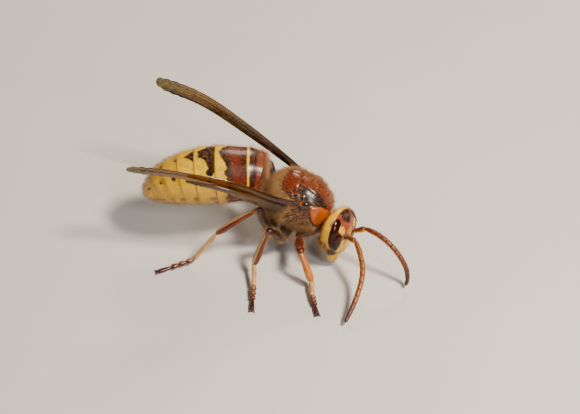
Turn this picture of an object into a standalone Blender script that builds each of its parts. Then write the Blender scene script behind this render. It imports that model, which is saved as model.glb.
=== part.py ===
"""A male European hornet at rest, life size, in named pieces.

Metres, +Z up, origin on the floor under the body. The thorax looks along +X and
the insect's left is +Y. Sizes in the tables are millimetres.
"""
from math import cos, pi, radians, sin

import bmesh
import bpy
import numpy as np
from mathutils import Matrix, Vector

MM = 0.001
GAP = 0.3
# The floor point under the thorax lies here, so that the outline is centred on the origin.
THORAX_FOOTPRINT = (3.0, 0.5)
SMOOTH_ANGLE = radians(40)

# Attitude of the three main parts: place, then yaw, pitch (nose down) and roll in degrees.
THORAX_AT, THORAX_TURN = (0.0, 0.0, 5.9), (0, 13, -7)
HEAD_AT, HEAD_TURN = (4.32, -1.36, 4.0), (-15, 8, -14)

COLOURS = {
    "rust": (0.30, 0.055, 0.02), "amber": (0.62, 0.16, 0.02), "yellow": (0.85, 0.50, 0.05),
    "dark": (0.05, 0.02, 0.012), "eye": (0.035, 0.012, 0.008), "wing": (0.22, 0.09, 0.03),
    "leg": (0.27, 0.07, 0.03),
}

# Mesosoma sections, front to rear, in thorax axes: x, half-width, top and bottom.
MESOSOMA = (
    (3.35, 0.9, 0.1, -1.5), (3.15, 1.55, 0.75, -1.85), (2.7, 2.05, 1.45, -2.15),
    (2.0, 2.5, 2.15, -2.5), (1.1, 2.75, 2.65, -2.8), (0.1, 2.85, 2.9, -2.95),
    (-0.9, 2.75, 2.95, -2.95), (-1.7, 2.55, 2.9, -2.85), (-2.4, 2.3, 2.5, -2.65),
    (-3.0, 1.95, 1.75, -2.35), (-3.5, 1.5, 0.85, -1.95), (-3.85, 0.95, 0.1, -1.45),
)
MESOSOMA_SIDES, MESOSOMA_POWER = 28, 2.25
TEGULA_AT, TEGULA_SIZE = (0.62, 2.7, 1.32), (0.56, 0.4, 0.46)
# Cuts that part the mesosoma into its plates, in thorax axes.
PRONOTUM_REAR = 1.45
SCUTUM_REAR, SCUTELLUM_REAR, METANOTUM_REAR = -0.95, -2.35, -2.95
SCUTUM_EDGE, SCUTUM_SLOPE = 1.35, -0.25
SCUTELLUM_EDGE, METANOTUM_EDGE = 1.75, 1.3

# Head sections, chin to vertex, in head axes: z, half-width, front and rear.
HEAD = (
    (-2.35, 0.7, 1.15, -0.1), (-2.15, 1.2, 1.42, -0.45), (-1.6, 1.8, 1.62, -0.9),
    (-0.8, 2.35, 1.62, -1.15), (0.0, 2.58, 1.52, -1.2), (0.8, 2.55, 1.35, -1.15),
    (1.5, 2.25, 1.05, -1.0), (2.0, 1.8, 0.65, -0.8), (2.3, 1.25, 0.3, -0.6),
    (2.44, 0.65, 0.0, -0.4),
)
HEAD_SIDES, HEAD_POWER, TEMPLE_FULLNESS = 28, 2.2, 0.35
# Eye: where its outline is drawn and the way that faces; half-width, half-height, rise and lean
# of the oval; then the sinus: depth, height, and spread under and over that height.
EYE_AT, EYE_AIM, EYE_PROUD, EYE_DEPTH = (0.6, 1.45, 0.0), 62, 0.14, 0.15
EYE_HALF, EYE_RISE, EYE_LEAN = (0.73, 1.88), 0.2, -0.13
SINUS_DEPTH, SINUS_HEIGHT, SINUS_SPREAD = 0.52, 1.12, (0.5, 0.38)
# Clypeus: where its outline is drawn, then half-width, half-height, middle and taper to the top.
CLYPEUS_AT, CLYPEUS_DEPTH, CLYPEUS_PROUD = (1.5, 0, 0), 0.35, 0.12
CLYPEUS_HALF, CLYPEUS_MIDDLE, CLYPEUS_TAPER = (0.8, 0.95), -1.2, 0.25
OUTLINE_SIDES = 30

# The jaws are shut, the left one behind the right.
MANDIBLES = {
    "right": ((0.6, -1.25, -1.6), (0.72, -1.1, -2.35), (0.8, -0.8, -3.05), (0.85, -0.38, -3.65)),
    "left": ((0.6, 1.25, -1.6), (0.55, 1.0, -2.35), (0.4, 0.65, -3.0), (0.3, 0.3, -3.5)),
}
MANDIBLE_STATIONS, MANDIBLE_WIDTHS = 8, (0.6, 0.62, 0.15)
MANDIBLE_SIDES, MANDIBLE_FLATNESS, MANDIBLE_MIDRIB = 12, 0.45, 0.06

# Gaster segments: length, half-width, height over and under the axis at the rear edge,
# and how far the axis has turned down there.
GASTER = (
    ("gaster_1", 1.7, 2.95, 2.85, 2.75, 0), ("gaster_2", 3.4, 3.15, 3.05, 2.95, 3),
    ("gaster_3", 2.15, 3.05, 2.85, 2.85, 9), ("gaster_4", 1.95, 2.7, 2.45, 2.6, 16),
    ("gaster_5", 1.6, 2.2, 1.9, 2.15, 25), ("gaster_6", 1.3, 1.55, 1.25, 1.55, 36),
    ("gaster_7", 1.3, 0.55, 0.4, 0.55, 46),
)
GASTER_FRONT_AT, GASTER_FRONT_SIZE = (-4.75, 0.45, 7.75), (2.5, 2.4, 2.35)
GASTER_FRONT_YAW, GASTER_REAR_YAW, GASTER_FRONT_LIFT = 10, 18, 8
GASTER_SIDES, GASTER_POWER = 26, 2.15
# Stations down a segment as shares of its length, its tail's too, and how each swells to its rear edge.
SEGMENT_STOPS, TAIL_STOPS = (0.22, 0.5, 0.8), (0.25, 0.5, 0.75, 0.92, 1.0)
SEGMENT_EASE, TAIL_EASE, SEGMENT_SAG = 1.6, 2.2, 0.5
TERGITE_STEP = 0.09
# The waist in thorax axes, then the steep front wall: way back, way up and radius.
WAIST_FROM, WAIST_TO = (-3.5, 0, -0.65), (-4.1, 0, -0.6)
FRONT_WALL = ((0.0, 0.0, 0.5), (0.3, 0.12, 0.8), (0.62, 0.5, 1.6), (0.85, 0.82, 2.15))

# Legs: coxa root, trochanter, knee, tibia end, basitarsus end, fourth tarsomere end, toe.
LEGS = {
    "front_right": ((2.0, -1.15, 3.8), (0.25, -2.2, 2.8), (1.63, -5.74, 3.54),
                    (3.18, -6.84, 0.86), (3.89, -8.68, 0.6), (4.51, -9.84, 0.34), (5.1, -10.92, 0.15)),
    "mid_right": ((-1.1, -1.5, 3.9), (-1.3, -2.7, 2.2), (-2.18, -5.21, 5.18),
                  (-3.24, -6.83, 1.5), (-2.48, -9.25, 0.75), (-2.03, -11.02, 0.36), (-1.65, -12.4, 0.15)),
    "hind_right": ((-2.7, -1.3, 4.7), (-3.0, -2.4, 2.6), (-3.68, -3.85, 6.75),
                   (-7.9, -5.6, 3.6), (-9.97, -7.21, 0.72), (-12.0, -8.82, 0.35), (-13.2, -9.75, 0.15)),
    "front_left": ((2.0, 0.95, 3.5), (1.3, 2.0, 1.95), (0.5, 4.6, 3.9),
                   (1.2, 5.4, 0.86), (2.6, 5.25, 0.6), (3.5, 5.05, 0.34), (4.35, 4.8, 0.15)),
    "mid_left": ((-1.0, 1.3, 3.6), (-1.3, 2.4, 2.0), (-3.0, 4.9, 4.9),
                 (-3.7, 6.6, 1.4), (-3.6, 8.6, 0.75), (-3.6, 10.1, 0.36), (-3.6, 11.3, 0.15)),
    "hind_left": ((-2.7, 1.15, 4.5), (-3.2, 2.2, 2.4), (-5.2, 4.2, 6.8),
                  (-8.8, 5.9, 3.0), (-10.7, 7.6, 0.72), (-12.4, 9.2, 0.35), (-13.3, 10.0, 0.15)),
}
# Shares of the way down each length, and the radii there.
COXA_STOPS, COXA_RADII = (0, 0.55, 1), (0.72, 0.64, 0.34)
FEMUR_STOPS, FEMUR_RADII = (0, 0.3, 0.65, 0.92, 1), (0.3, 0.46, 0.52, 0.44, 0.34)
TIBIA_STOPS, TIBIA_RADII = (0, 0.3, 0.75, 1), (0.27, 0.34, 0.42, 0.44)
BASITARSUS_STOPS, BASITARSUS_RADII = (0, 0.5, 0.94), (0.22, 0.25, 0.28)
TARSOMERE_STOPS, TARSOMERE_RADII = (0.12, 0.85), (0.23, 0.29)
CLAW_STOPS, CLAW_RADII = (0.1, 0.55, 0.85, 1), (0.24, 0.27, 0.32, 0.25)
TIBIA_FLATNESS, CLAW_FLATNESS = 0.85, 0.75
LEG_SIDES = 10

# Antennae: the scape's root on the head, in head axes, then the rest in body axes.
SCAPE_ROOT = (1.2, 0.55, 0.05)
ANTENNAE = {
    "right": ((6.9, -3.0, 4.3), (7.75, -4.2, 3.75), (8.5, -5.7, 2.95), (8.75, -7.4, 2.2),
              (8.7, -9.2, 1.45), (8.55, -10.8, 0.95), (8.45, -11.75, 0.7)),
    "left": ((7.5, -1.3, 4.85), (9.0, -1.95, 4.95), (10.5, -2.45, 4.4), (11.7, -2.8, 3.35),
             (12.55, -3.1, 2.1), (12.85, -3.5, 1.0), (12.8, -4.0, 0.45)),
}
SCAPE_STOPS, SCAPE_RADII = (0, 0.4, 0.65, 0.9, 1), (0.24, 0.26, 0.31, 0.32, 0.24)
FLAGELLUM_STOPS, FLAGELLUM_RADII = (0, 0.06, 0.75, 1), (0.24, 0.3, 0.29, 0.19)
# Twelve articles beyond the scape, three rings to each, parted in two nodes; each is waisted at its joints.
FLAGELLOMERES, FLAGELLUM_SPLIT, FLAGELLOMERE_RINGS, JOINT_WAIST = 12, 6, 3, 0.1

# Wings, folded lengthwise: points from the root out, and the lean of their width to the left.
WING_ROOT = (0.5, 2.3, 1.0)
WINGS = {
    "right": (((-2.0, -3.2, 7.7), (-7.2, -5.0, 10.1), (-12.0, -6.4, 11.4), (-17.1, -7.6, 11.8)), -37),
    "left": (((-2.8, 3.95, 7.45), (-8.1, 5.2, 9.75), (-13.4, 5.85, 12.05), (-18.9, 6.3, 12.95)), -17),
}
WING_STATIONS, WING_LINES = 20, 9
WING_THICKNESS, VEIN_HEIGHT, WING_BOW = 0.42, 0.07, 0.14
WING_THINS_FROM, WING_TIP_THINNESS = 0.85, 0.55
VEIN_LINES = (-1.0, -0.5, 0.0, 0.5, 1.0)
# Half-width at shares of the length.
FOREWING_HALF_WIDTHS = ((0.0, 0.35), (0.1, 0.5), (0.3, 0.85), (0.5, 1.1), (0.8, 1.15), (0.94, 0.85),
                        (1.0, 0.3))
HINDWING_HALF_WIDTHS = ((0.0, 0.3), (0.2, 0.45), (0.6, 0.65), (0.85, 0.5), (1.0, 0.2))
# The hindwing starts behind the forewing and lies under it, shifted out and down its width
# at the first three points of the route; it ends a share of the way from the second to the third.
HINDWING_ROOT, HINDWING_END, HINDWING_STATIONS = (-1.2, 2.25, -0.8), 0.75, 14
HINDWING_OUT = 0.9
HINDWING_DROPS = {"right": (0.3, -0.05, -0.45), "left": (1.3, 0.85, 0.85)}


def clear_scene():
    for obj in list(bpy.data.objects):
        bpy.data.objects.remove(obj, do_unlink=True)


def material(slot):
    mat = bpy.data.materials.get(slot)
    if mat is None:
        mat = bpy.data.materials.new(slot)
        mat.use_nodes = True
        shader = mat.node_tree.nodes["Principled BSDF"]
        shader.inputs["Base Color"].default_value = (*COLOURS[slot], 1.0)
        shader.inputs["Roughness"].default_value = 0.3 if slot in ("eye", "dark") else 0.45
        shader.inputs["Metallic"].default_value = 0.0
    return mat


def attitude(at, turn):
    """Matrix of a part: placed at a point, then yawed, pitched nose down and rolled."""
    yaw, pitch, roll = (radians(angle) for angle in turn)
    turned = Matrix.Rotation(yaw, 4, "Z") @ Matrix.Rotation(pitch, 4, "Y") @ Matrix.Rotation(roll, 4, "X")
    return Matrix.Translation(Vector(at)) @ turned


THORAX = attitude(THORAX_AT, THORAX_TURN)
HEAD_FRAME = attitude(HEAD_AT, HEAD_TURN)


def add_object(name, bm, slot, frame=None):
    """Turn a bmesh in millimetres into an object placed in the body's frame."""
    if frame is not None:
        bm.transform(frame)
    bmesh.ops.recalc_face_normals(bm, faces=bm.faces)
    shift = Matrix.Translation(Vector((*THORAX_FOOTPRINT, 0.0)))
    bm.transform(Matrix.Scale(MM, 4) @ shift)
    mesh = bpy.data.meshes.new(name)
    bm.to_mesh(mesh)
    bm.free()
    mesh.materials.append(material(slot))
    mesh.shade_smooth()
    mesh.set_sharp_from_angle(angle=SMOOTH_ANGLE)
    obj = bpy.data.objects.new(name, mesh)
    bpy.context.scene.collection.objects.link(obj)
    return obj


def add_cutter(name, bm, frame=None):
    obj = add_object(name, bm, "dark", frame)
    obj.hide_render = True
    obj.display_type = "WIRE"
    return obj


def cut_by(obj, cutter, operation="DIFFERENCE"):
    modifier = obj.modifiers.new(cutter.name, "BOOLEAN")
    modifier.operation = operation
    modifier.object = cutter
    modifier.solver = "EXACT"


def loft(rings, bm=None):
    """Skin a stack of equal rings of points and close both ends with a fan."""
    bm = bm or bmesh.new()
    stack = [[bm.verts.new(point) for point in ring] for ring in rings]
    for low, high in zip(stack, stack[1:]):
        for i in range(len(low)):
            j = (i + 1) % len(low)
            bm.faces.new((low[i], low[j], high[j], high[i]))
    for ring in (stack[0], stack[-1]):
        middle = bm.verts.new(sum((vert.co for vert in ring), Vector()) / len(ring))
        for i in range(len(ring)):
            bm.faces.new((ring[i], ring[(i + 1) % len(ring)], middle))
    return bm


def oval(half_width, up, down, sides, power=2.0):
    """Points (across, up) of a superellipse with its own height over and under its middle."""
    angles = np.arange(sides) * 2 * pi / sides
    c, s = np.cos(angles), np.sin(angles)
    across = half_width * np.sign(c) * np.abs(c) ** (2 / power)
    height = np.where(s >= 0, up, down) * np.sign(s) * np.abs(s) ** (2 / power)
    return np.column_stack((across, height))


def mesosoma_body(swell=0.0):
    """The whole thorax with the propodeum, swollen all round where it serves as a cutter."""
    rings = []
    for index, (x, half, top, bottom) in enumerate(MESOSOMA):
        end = swell * ((index == 0) - (index == len(MESOSOMA) - 1))
        middle = (top + bottom) / 2
        up, down = top - middle + swell, middle - bottom + swell
        points = oval(half + swell, up, down, MESOSOMA_SIDES, MESOSOMA_POWER)
        rings.append([(x + end, y, middle + z) for y, z in points])
    return loft(rings)


def keep_side(bm, point, normal):
    """Cut a closed mesh by a plane, drop the side that the normal points to and cap the cut."""
    geometry = bm.verts[:] + bm.edges[:] + bm.faces[:]
    cut = bmesh.ops.bisect_plane(bm, geom=geometry, plane_co=point, plane_no=normal, clear_outer=True)
    edges = [item for item in cut["geom_cut"] if isinstance(item, bmesh.types.BMEdge)]
    bmesh.ops.edgeloop_fill(bm, edges=edges)


def plate(name, slot, planes):
    """One plate of the thorax: the whole body between a few planes."""
    bm = mesosoma_body()
    for point, normal in planes:
        keep_side(bm, point, normal)
    bmesh.ops.triangulate(bm, faces=[face for face in bm.faces if len(face.verts) > 4])
    return add_object(name, bm, slot, THORAX)


def make_thorax(head):
    half = GAP / 2
    down, up = (0, 0, -1), (0, 0, 1)
    back, fore = (-1, 0, 0), (1, 0, 0)
    slope = Vector((-SCUTUM_SLOPE, 0, 1)).normalized()
    seam = Vector((PRONOTUM_REAR, 0, SCUTUM_EDGE))
    plate("mesoscutum", "rust", ((seam + slope * half, -slope), ((SCUTUM_REAR + half, 0, 0), back)))
    collar = plate("pronotum", "amber", ((seam - slope * half, slope), ((PRONOTUM_REAR + half, 0, 0), back)))
    cut_by(collar, head)
    plate("scutellum", "rust", (((SCUTUM_REAR - half, 0, 0), fore),
                                ((SCUTELLUM_REAR + half, 0, 0), back),
                                ((0, 0, SCUTELLUM_EDGE + half), down)))
    plate("metanotum", "rust", (((SCUTELLUM_REAR - half, 0, 0), fore),
                                ((METANOTUM_REAR + half, 0, 0), back),
                                ((0, 0, METANOTUM_EDGE + half), down)))
    plate("propodeum", "dark", (((METANOTUM_REAR - half, 0, 0), fore),))
    plate("mesopleura_front", "dark", (((PRONOTUM_REAR - half, 0, 0), fore),
                                       ((SCUTUM_REAR + half, 0, 0), back),
                                       (seam - slope * half, slope)))
    plate("mesopleura_rear", "dark", (((SCUTUM_REAR - half, 0, 0), fore),
                                      ((METANOTUM_REAR + half, 0, 0), back),
                                      ((0, 0, METANOTUM_EDGE - half), up)))


def head_body(swell=0.0, lift=0.0):
    """The whole head, flat behind and domed in front, swollen or lifted evenly."""
    rings = []
    for index, (z, half, front, rear) in enumerate(HEAD):
        end = (swell + lift) * ((index == len(HEAD) - 1) - (index == 0))
        middle = (front + rear) / 2
        ahead, behind = front - middle + swell + lift, middle - rear + swell
        points = oval(half + swell + lift, ahead, behind, HEAD_SIDES, HEAD_POWER)
        fuller = 1.0 + TEMPLE_FULLNESS * (points[:, 1] / (rear - middle)) ** 2
        points[:, 0] *= np.where(points[:, 1] < 0, fuller, 1.0)
        rings.append([(middle + x, -y, z + end) for y, x in points])
    return loft(rings)


def prism(outline, near, far):
    """A prism on an outline in the (across, up) plane, from near to far along its own x."""
    return loft([[(x, a, b) for a, b in outline] for x in (near, far)])


def outline_with_margin(across, up, margin):
    """A closed outline of points (across, up), moved outwards by a margin."""
    points = np.column_stack((across, up))
    tangent = np.roll(points, -1, 0) - np.roll(points, 1, 0)
    outward = np.column_stack((tangent[:, 1], -tangent[:, 0]))
    return points + margin * outward / np.linalg.norm(outward, axis=1)[:, None]


def eye_outline(margin=0.0):
    """A kidney: a tall, leaning oval with the sinus of a hornet's eye bitten into its inner side."""
    angles = np.arange(OUTLINE_SIDES) * 2 * pi / OUTLINE_SIDES
    up = EYE_RISE + EYE_HALF[1] * np.sin(angles)
    spread = np.where(up < SINUS_HEIGHT, *SINUS_SPREAD)
    bite = SINUS_DEPTH * np.exp(-((up - SINUS_HEIGHT) / spread) ** 2) * np.clip(np.cos(angles), 0, None)
    across = EYE_HALF[0] * np.cos(angles) - bite + EYE_LEAN * up
    return outline_with_margin(across, up, margin)


def clypeus_outline(margin=0.0):
    """A shield, wide below and rounded, as seen from in front."""
    angles = np.arange(OUTLINE_SIDES) * 2 * pi / OUTLINE_SIDES
    squared = np.sign(np.cos(angles)) * np.abs(np.cos(angles)) ** 0.75
    across = CLYPEUS_HALF[0] * squared * (1 - CLYPEUS_TAPER * np.sin(angles))
    up = CLYPEUS_MIDDLE + CLYPEUS_HALF[1] * np.sin(angles)
    return outline_with_margin(across, up, margin)


def inlay(name, slot, outline, aim, at, depth, proud, cutters):
    """Set a piece into the head: its own outline, the head's form a little proud of it."""
    seat = HEAD_FRAME @ Matrix.Translation(Vector(at)) @ aim
    piece = add_object(name, prism(outline(0.0), -depth, 3.0), slot, seat)
    skin = add_cutter("form_" + name, head_body(lift=proud), HEAD_FRAME)
    cut_by(piece, skin, "INTERSECT")
    cutters.append(add_cutter("seat_" + name, prism(outline(GAP), -depth - GAP, 3.5), seat))
    return piece


def make_head():
    cutters = []
    for side, sign in (("right", -1), ("left", 1)):
        aim = Matrix.Rotation(sign * radians(EYE_AIM), 4, "Z") @ Matrix.Scale(sign * -1, 4, (0, 1, 0))
        at = (EYE_AT[0], sign * EYE_AT[1], EYE_AT[2])
        inlay("eye_" + side, "eye", eye_outline, aim, at, EYE_DEPTH, EYE_PROUD, cutters)
    inlay("clypeus", "yellow", clypeus_outline, Matrix(), CLYPEUS_AT, CLYPEUS_DEPTH, CLYPEUS_PROUD, cutters)
    head = add_object("head", head_body(), "amber", HEAD_FRAME)
    for cutter in cutters:
        cut_by(head, cutter)


def tube(points, widths, heights, sides, side_way=None):
    """Rings carried along a path; each ring stands square to the path's local direction."""
    path = np.array(points, float)
    ways = np.gradient(path, axis=0)
    rings = []
    for point, way, width, height in zip(path, ways, widths, heights):
        way = Vector(way).normalized()
        side = Vector(side_way) if side_way is not None else way.cross(Vector((0, 0, 1)))
        side = (side - way * side.dot(way)).normalized()
        top = side.cross(way)
        ring = oval(width, height, height, sides)
        rings.append([Vector(point) + side * a + top * b for a, b in ring])
    return rings


def along(points, count):
    """Evenly spaced points on the Catmull-Rom curve through a few points."""
    knots = np.array(points, float)
    padded = np.vstack((2 * knots[0] - knots[1], knots, 2 * knots[-1] - knots[-2]))
    fine = []
    for i in range(len(knots) - 1):
        p0, p1, p2, p3 = padded[i:i + 4]
        for t in np.linspace(0, 1, 12, endpoint=False):
            fine.append(0.5 * (2 * p1 + (p2 - p0) * t + (2 * p0 - 5 * p1 + 4 * p2 - p3) * t ** 2
                               + (3 * p1 - p0 - 3 * p2 + p3) * t ** 3))
    fine.append(knots[-1])
    fine = np.array(fine)
    run = np.concatenate(([0], np.cumsum(np.linalg.norm(np.diff(fine, axis=0), axis=1))))
    stops = np.linspace(0, run[-1], count)
    return np.column_stack([np.interp(stops, run, fine[:, k]) for k in range(3)])


def make_mandibles(clear):
    """Two stout, tapered jaws that hang under the clypeus, broad faces forward, and meet at the middle."""
    for side, sign in (("right", -1), ("left", 1)):
        path = along(MANDIBLES[side], MANDIBLE_STATIONS)
        widths = np.interp(np.linspace(0, 1, MANDIBLE_STATIONS), (0, 0.5, 1), MANDIBLE_WIDTHS)
        heights = MANDIBLE_FLATNESS * widths + MANDIBLE_MIDRIB
        rings = tube(path, widths, heights, MANDIBLE_SIDES, (1.0, -sign, 0.0))
        jaw = add_object("mandible_" + side, loft(rings), "yellow", HEAD_FRAME)
        cut_by(jaw, clear)


def make_antennae(head):
    for side, sign in (("right", -1), ("left", 1)):
        root = HEAD_FRAME @ Vector((SCAPE_ROOT[0], sign * SCAPE_ROOT[1], SCAPE_ROOT[2]))
        stops = [root.lerp(Vector(ANTENNAE[side][0]), t) for t in SCAPE_STOPS]
        scape = limb("scape_" + side, "rust", stops, SCAPE_RADII, SCAPE_RADII, head)
        line = along(ANTENNAE[side], FLAGELLOMERES * FLAGELLOMERE_RINGS * 4)
        run = np.concatenate(([0], np.cumsum(np.linalg.norm(np.diff(line, axis=0), axis=1))))
        article = run[-1] / FLAGELLOMERES
        for name, first, last in (("flagellum_base_", 0, FLAGELLUM_SPLIT),
                                  ("flagellum_tip_", FLAGELLUM_SPLIT, FLAGELLOMERES)):
            low = first * article + (GAP / 2 if first else 0)
            high = last * article - (GAP / 2 if last < FLAGELLOMERES else 0)
            stops = np.linspace(low, high, (last - first) * FLAGELLOMERE_RINGS + 1)
            near_joint = np.abs((stops / article) % 1.0 - 0.5) > 0.4
            size = np.interp(stops / run[-1], FLAGELLUM_STOPS, FLAGELLUM_RADII)
            size *= 1 - JOINT_WAIST * near_joint
            places = np.column_stack([np.interp(stops, run, line[:, k]) for k in range(3)])
            piece = add_object(name + side, loft(tube(places, size, size, LEG_SIDES)), "rust")
            if not first:
                cut_by(piece, scape)


def gaster_axis():
    """Frames down the gaster's axis, one at each segment edge, from the front to the tip."""
    yaw = np.interp(range(len(GASTER) + 1), (0, 1, len(GASTER)),
                    (GASTER_FRONT_YAW, GASTER_REAR_YAW, GASTER_REAR_YAW))
    droop = [-GASTER_FRONT_LIFT] + [segment[5] for segment in GASTER]
    point = Vector(GASTER_FRONT_AT)
    frames = [(point.copy(), yaw[0], droop[0])]
    for index, segment in enumerate(GASTER):
        mid_yaw, mid_droop = (yaw[index] + yaw[index + 1]) / 2, (droop[index] + droop[index + 1]) / 2
        way = rearward(mid_yaw, mid_droop)
        point = point + way * segment[1]
        frames.append((point.copy(), yaw[index + 1], droop[index + 1]))
    return frames


def rearward(yaw, droop):
    yaw, droop = radians(yaw), radians(droop)
    return Vector((-cos(yaw) * cos(droop), -sin(yaw) * cos(droop), -sin(droop)))


def gaster_ring(point, yaw, droop, half, up, down):
    way = rearward(yaw, droop)
    side = Vector((sin(radians(yaw)), -cos(radians(yaw)), 0))
    top = way.cross(side)
    top = top if top.z > 0 else -top
    return [point + side * a + top * b for a, b in oval(half, up, down, GASTER_SIDES, GASTER_POWER)]


def make_gaster(thorax):
    """Seven segments: each starts a step inside the last one's rear edge and swells to its own."""
    frames = gaster_axis()
    tail = len(GASTER) - 1
    for index, (name, length, *rear_size, _) in enumerate(GASTER):
        (start, yaw0, droop0), (stop, yaw1, droop1) = frames[index], frames[index + 1]
        front_size = GASTER_FRONT_SIZE
        if index:
            front_size = [value - TERGITE_STEP for value in GASTER[index - 1][2:5]]
        low, high = GAP / 2 / length, 1 - GAP / 2 / length
        rings = []
        for t in (low, *TAIL_STOPS) if index == tail else (low, *SEGMENT_STOPS, high):
            ease = t ** TAIL_EASE if index == tail else 1 - (1 - t) ** SEGMENT_EASE
            size = [a + (b - a) * ease for a, b in zip(front_size, rear_size)]
            sag = (rearward(yaw0, droop0) - rearward(yaw1, droop1)) * t * (1 - t) * length * SEGMENT_SAG
            rings.append(gaster_ring(start.lerp(stop, t) + sag, yaw0 + (yaw1 - yaw0) * t,
                                     droop0 + (droop1 - droop0) * t, *size))
        if index == 0:
            rings = petiole_rings(start, yaw0, droop0) + rings
        piece = add_object(name, loft(rings), "rust" if index < 2 else "yellow")
        if index == 0:
            cut_by(piece, thorax)


def petiole_rings(start, yaw, droop):
    """The waist: a thin stalk from the propodeum that opens into the first segment's front wall."""
    stalk = THORAX @ Vector(WAIST_TO)
    rings = [gaster_ring(THORAX @ Vector(WAIST_FROM), yaw, droop, *[FRONT_WALL[0][2]] * 3)]
    for back, rise, radius in FRONT_WALL:
        place = stalk.lerp(start, back)
        place.z = stalk.z + (start.z - stalk.z) * rise
        rings.append(gaster_ring(place, yaw, droop, radius, radius, radius))
    return rings


def limb(name, slot, points, widths, heights, clear, side_way=None, floor=False):
    """One length of a leg, cut clear of what it grows from; returns its own swollen form."""
    bm = loft(tube(points, widths, heights, LEG_SIDES, side_way))
    if floor:
        keep_side(bm, (0, 0, 0), (0, 0, -1))
        bmesh.ops.triangulate(bm, faces=[face for face in bm.faces if len(face.verts) > 4])
    cut_by(add_object(name, bm, slot), clear)
    start, end = Vector(points[0]), Vector(points[-1])
    way = (end - start).normalized() * GAP
    swollen = [start - way, *points[1:-1], end + way]
    fat = [[value + GAP for value in sizes] for sizes in (widths, heights)]
    return add_cutter("clear_of_" + name, loft(tube(swollen, *fat, LEG_SIDES, side_way)))


def make_legs(thorax):
    for name, joints in LEGS.items():
        coxa, hip, knee, ankle, basitarsus, fourth, toe = (Vector(joint) for joint in joints)
        stops = [coxa.lerp(hip, t) for t in COXA_STOPS]
        coxa_form = limb("coxa_" + name, "dark", stops, COXA_RADII, COXA_RADII, thorax, (1, 0, 0))
        stops = [hip.lerp(knee, t) for t in FEMUR_STOPS]
        femur_form = limb("femur_" + name, "rust", stops, FEMUR_RADII, FEMUR_RADII, coxa_form)
        stops = [knee.lerp(ankle, t) for t in TIBIA_STOPS]
        flat = [radius * TIBIA_FLATNESS for radius in TIBIA_RADII]
        tibia_form = limb("tibia_" + name, "leg", stops, TIBIA_RADII, flat, femur_form)
        stops, radii = tarsus_steps(ankle, basitarsus, fourth, toe)
        heights = [*radii[:-2], radii[-2] * CLAW_FLATNESS, radii[-1] * CLAW_FLATNESS]
        limb("tarsus_" + name, "leg", stops, radii, heights, tibia_form, floor=True)


def tarsus_steps(ankle, basitarsus, fourth, toe):
    """Places and radii down five tarsomeres, each a little flared at its end."""
    stops = [ankle.lerp(basitarsus, t) for t in BASITARSUS_STOPS]
    for step in range(3):
        low, high = basitarsus.lerp(fourth, step / 3), basitarsus.lerp(fourth, (step + 1) / 3)
        stops += [low.lerp(high, t) for t in TARSOMERE_STOPS]
    stops += [fourth.lerp(toe, t) for t in CLAW_STOPS]
    return stops, [*BASITARSUS_RADII, *TARSOMERE_RADII * 3, *CLAW_RADII]


def blade(path, half_widths, wide_way):
    """A folded wing along a path: both faces triangulated alike, the veins raised in them.

    Across the wing the faces bow by a parabola; along it the thickness thins to the tip.
    """
    stations = len(path)
    run = np.linspace(0, 1, stations)
    half = np.interp(run, *zip(*half_widths))
    thin = np.interp(run, (0, WING_THINS_FROM, 1), (1, 1, WING_TIP_THINNESS))
    lines = np.linspace(-1, 1, WING_LINES)
    ridge = np.zeros(WING_LINES)
    for vein in VEIN_LINES:
        ridge[np.argmin(np.abs(lines - vein))] = VEIN_HEIGHT
    places = [Vector(point) for point in path]
    bm = bmesh.new()
    sheets = []
    for sign in (1, -1):
        rows = []
        for i, place in enumerate(places):
            way = (places[min(i + 1, stations - 1)] - places[max(i - 1, 0)]).normalized()
            wide = (wide_way - way * wide_way.dot(way)).normalized()
            face = way.cross(wide)
            rise = sign * (WING_THICKNESS / 2 + ridge) * thin[i] + WING_BOW * (1 - lines ** 2)
            rows.append([bm.verts.new(place + wide * lines[j] * half[i] + face * rise[j])
                         for j in range(WING_LINES)])
        sheets.append(rows)
    top, low = sheets
    last_row, last_line = stations - 1, WING_LINES - 1
    for i in range(last_row):
        for j in range(last_line):
            for rows in (top, low):
                a, b, c, d = rows[i][j], rows[i + 1][j], rows[i + 1][j + 1], rows[i][j + 1]
                bm.faces.new((a, b, c))
                bm.faces.new((a, c, d))
    rim = [(i, 0) for i in range(last_row)]
    rim += [(last_row, j) for j in range(last_line)]
    rim += [(i, last_line) for i in range(last_row, 0, -1)]
    rim += [(0, j) for j in range(last_line, 0, -1)]
    for (i, j), (k, m) in zip(rim, rim[1:] + rim[:1]):
        bm.faces.new((top[i][j], top[k][m], low[k][m]))
        bm.faces.new((top[i][j], low[k][m], low[i][j]))
    return bm


def make_wings(clear):
    for side, sign in (("right", -1), ("left", 1)):
        route, lean = WINGS[side]
        wide_way = Vector((0, sin(radians(lean)), cos(radians(lean))))
        root = THORAX @ Vector((WING_ROOT[0], sign * WING_ROOT[1], WING_ROOT[2]))
        path = along((root, *route), WING_STATIONS)
        fore = add_object("forewing_" + side, blade(path, FOREWING_HALF_WIDTHS, wide_way), "wing")
        cut_by(fore, clear)
        outward = Vector((0, sign, 0))
        outward = (outward - wide_way * outward.dot(wide_way)).normalized()
        root = THORAX @ Vector((HINDWING_ROOT[0], sign * HINDWING_ROOT[1], HINDWING_ROOT[2]))
        under = [Vector(point) + outward * HINDWING_OUT - wide_way * drop
                 for point, drop in zip(route, HINDWING_DROPS[side])]
        path = along((root, under[0], under[1], under[1].lerp(under[2], HINDWING_END)), HINDWING_STATIONS)
        hind = add_object("hindwing_" + side, blade(path, HINDWING_HALF_WIDTHS, wide_way), "wing")
        cut_by(hind, clear)


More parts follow.
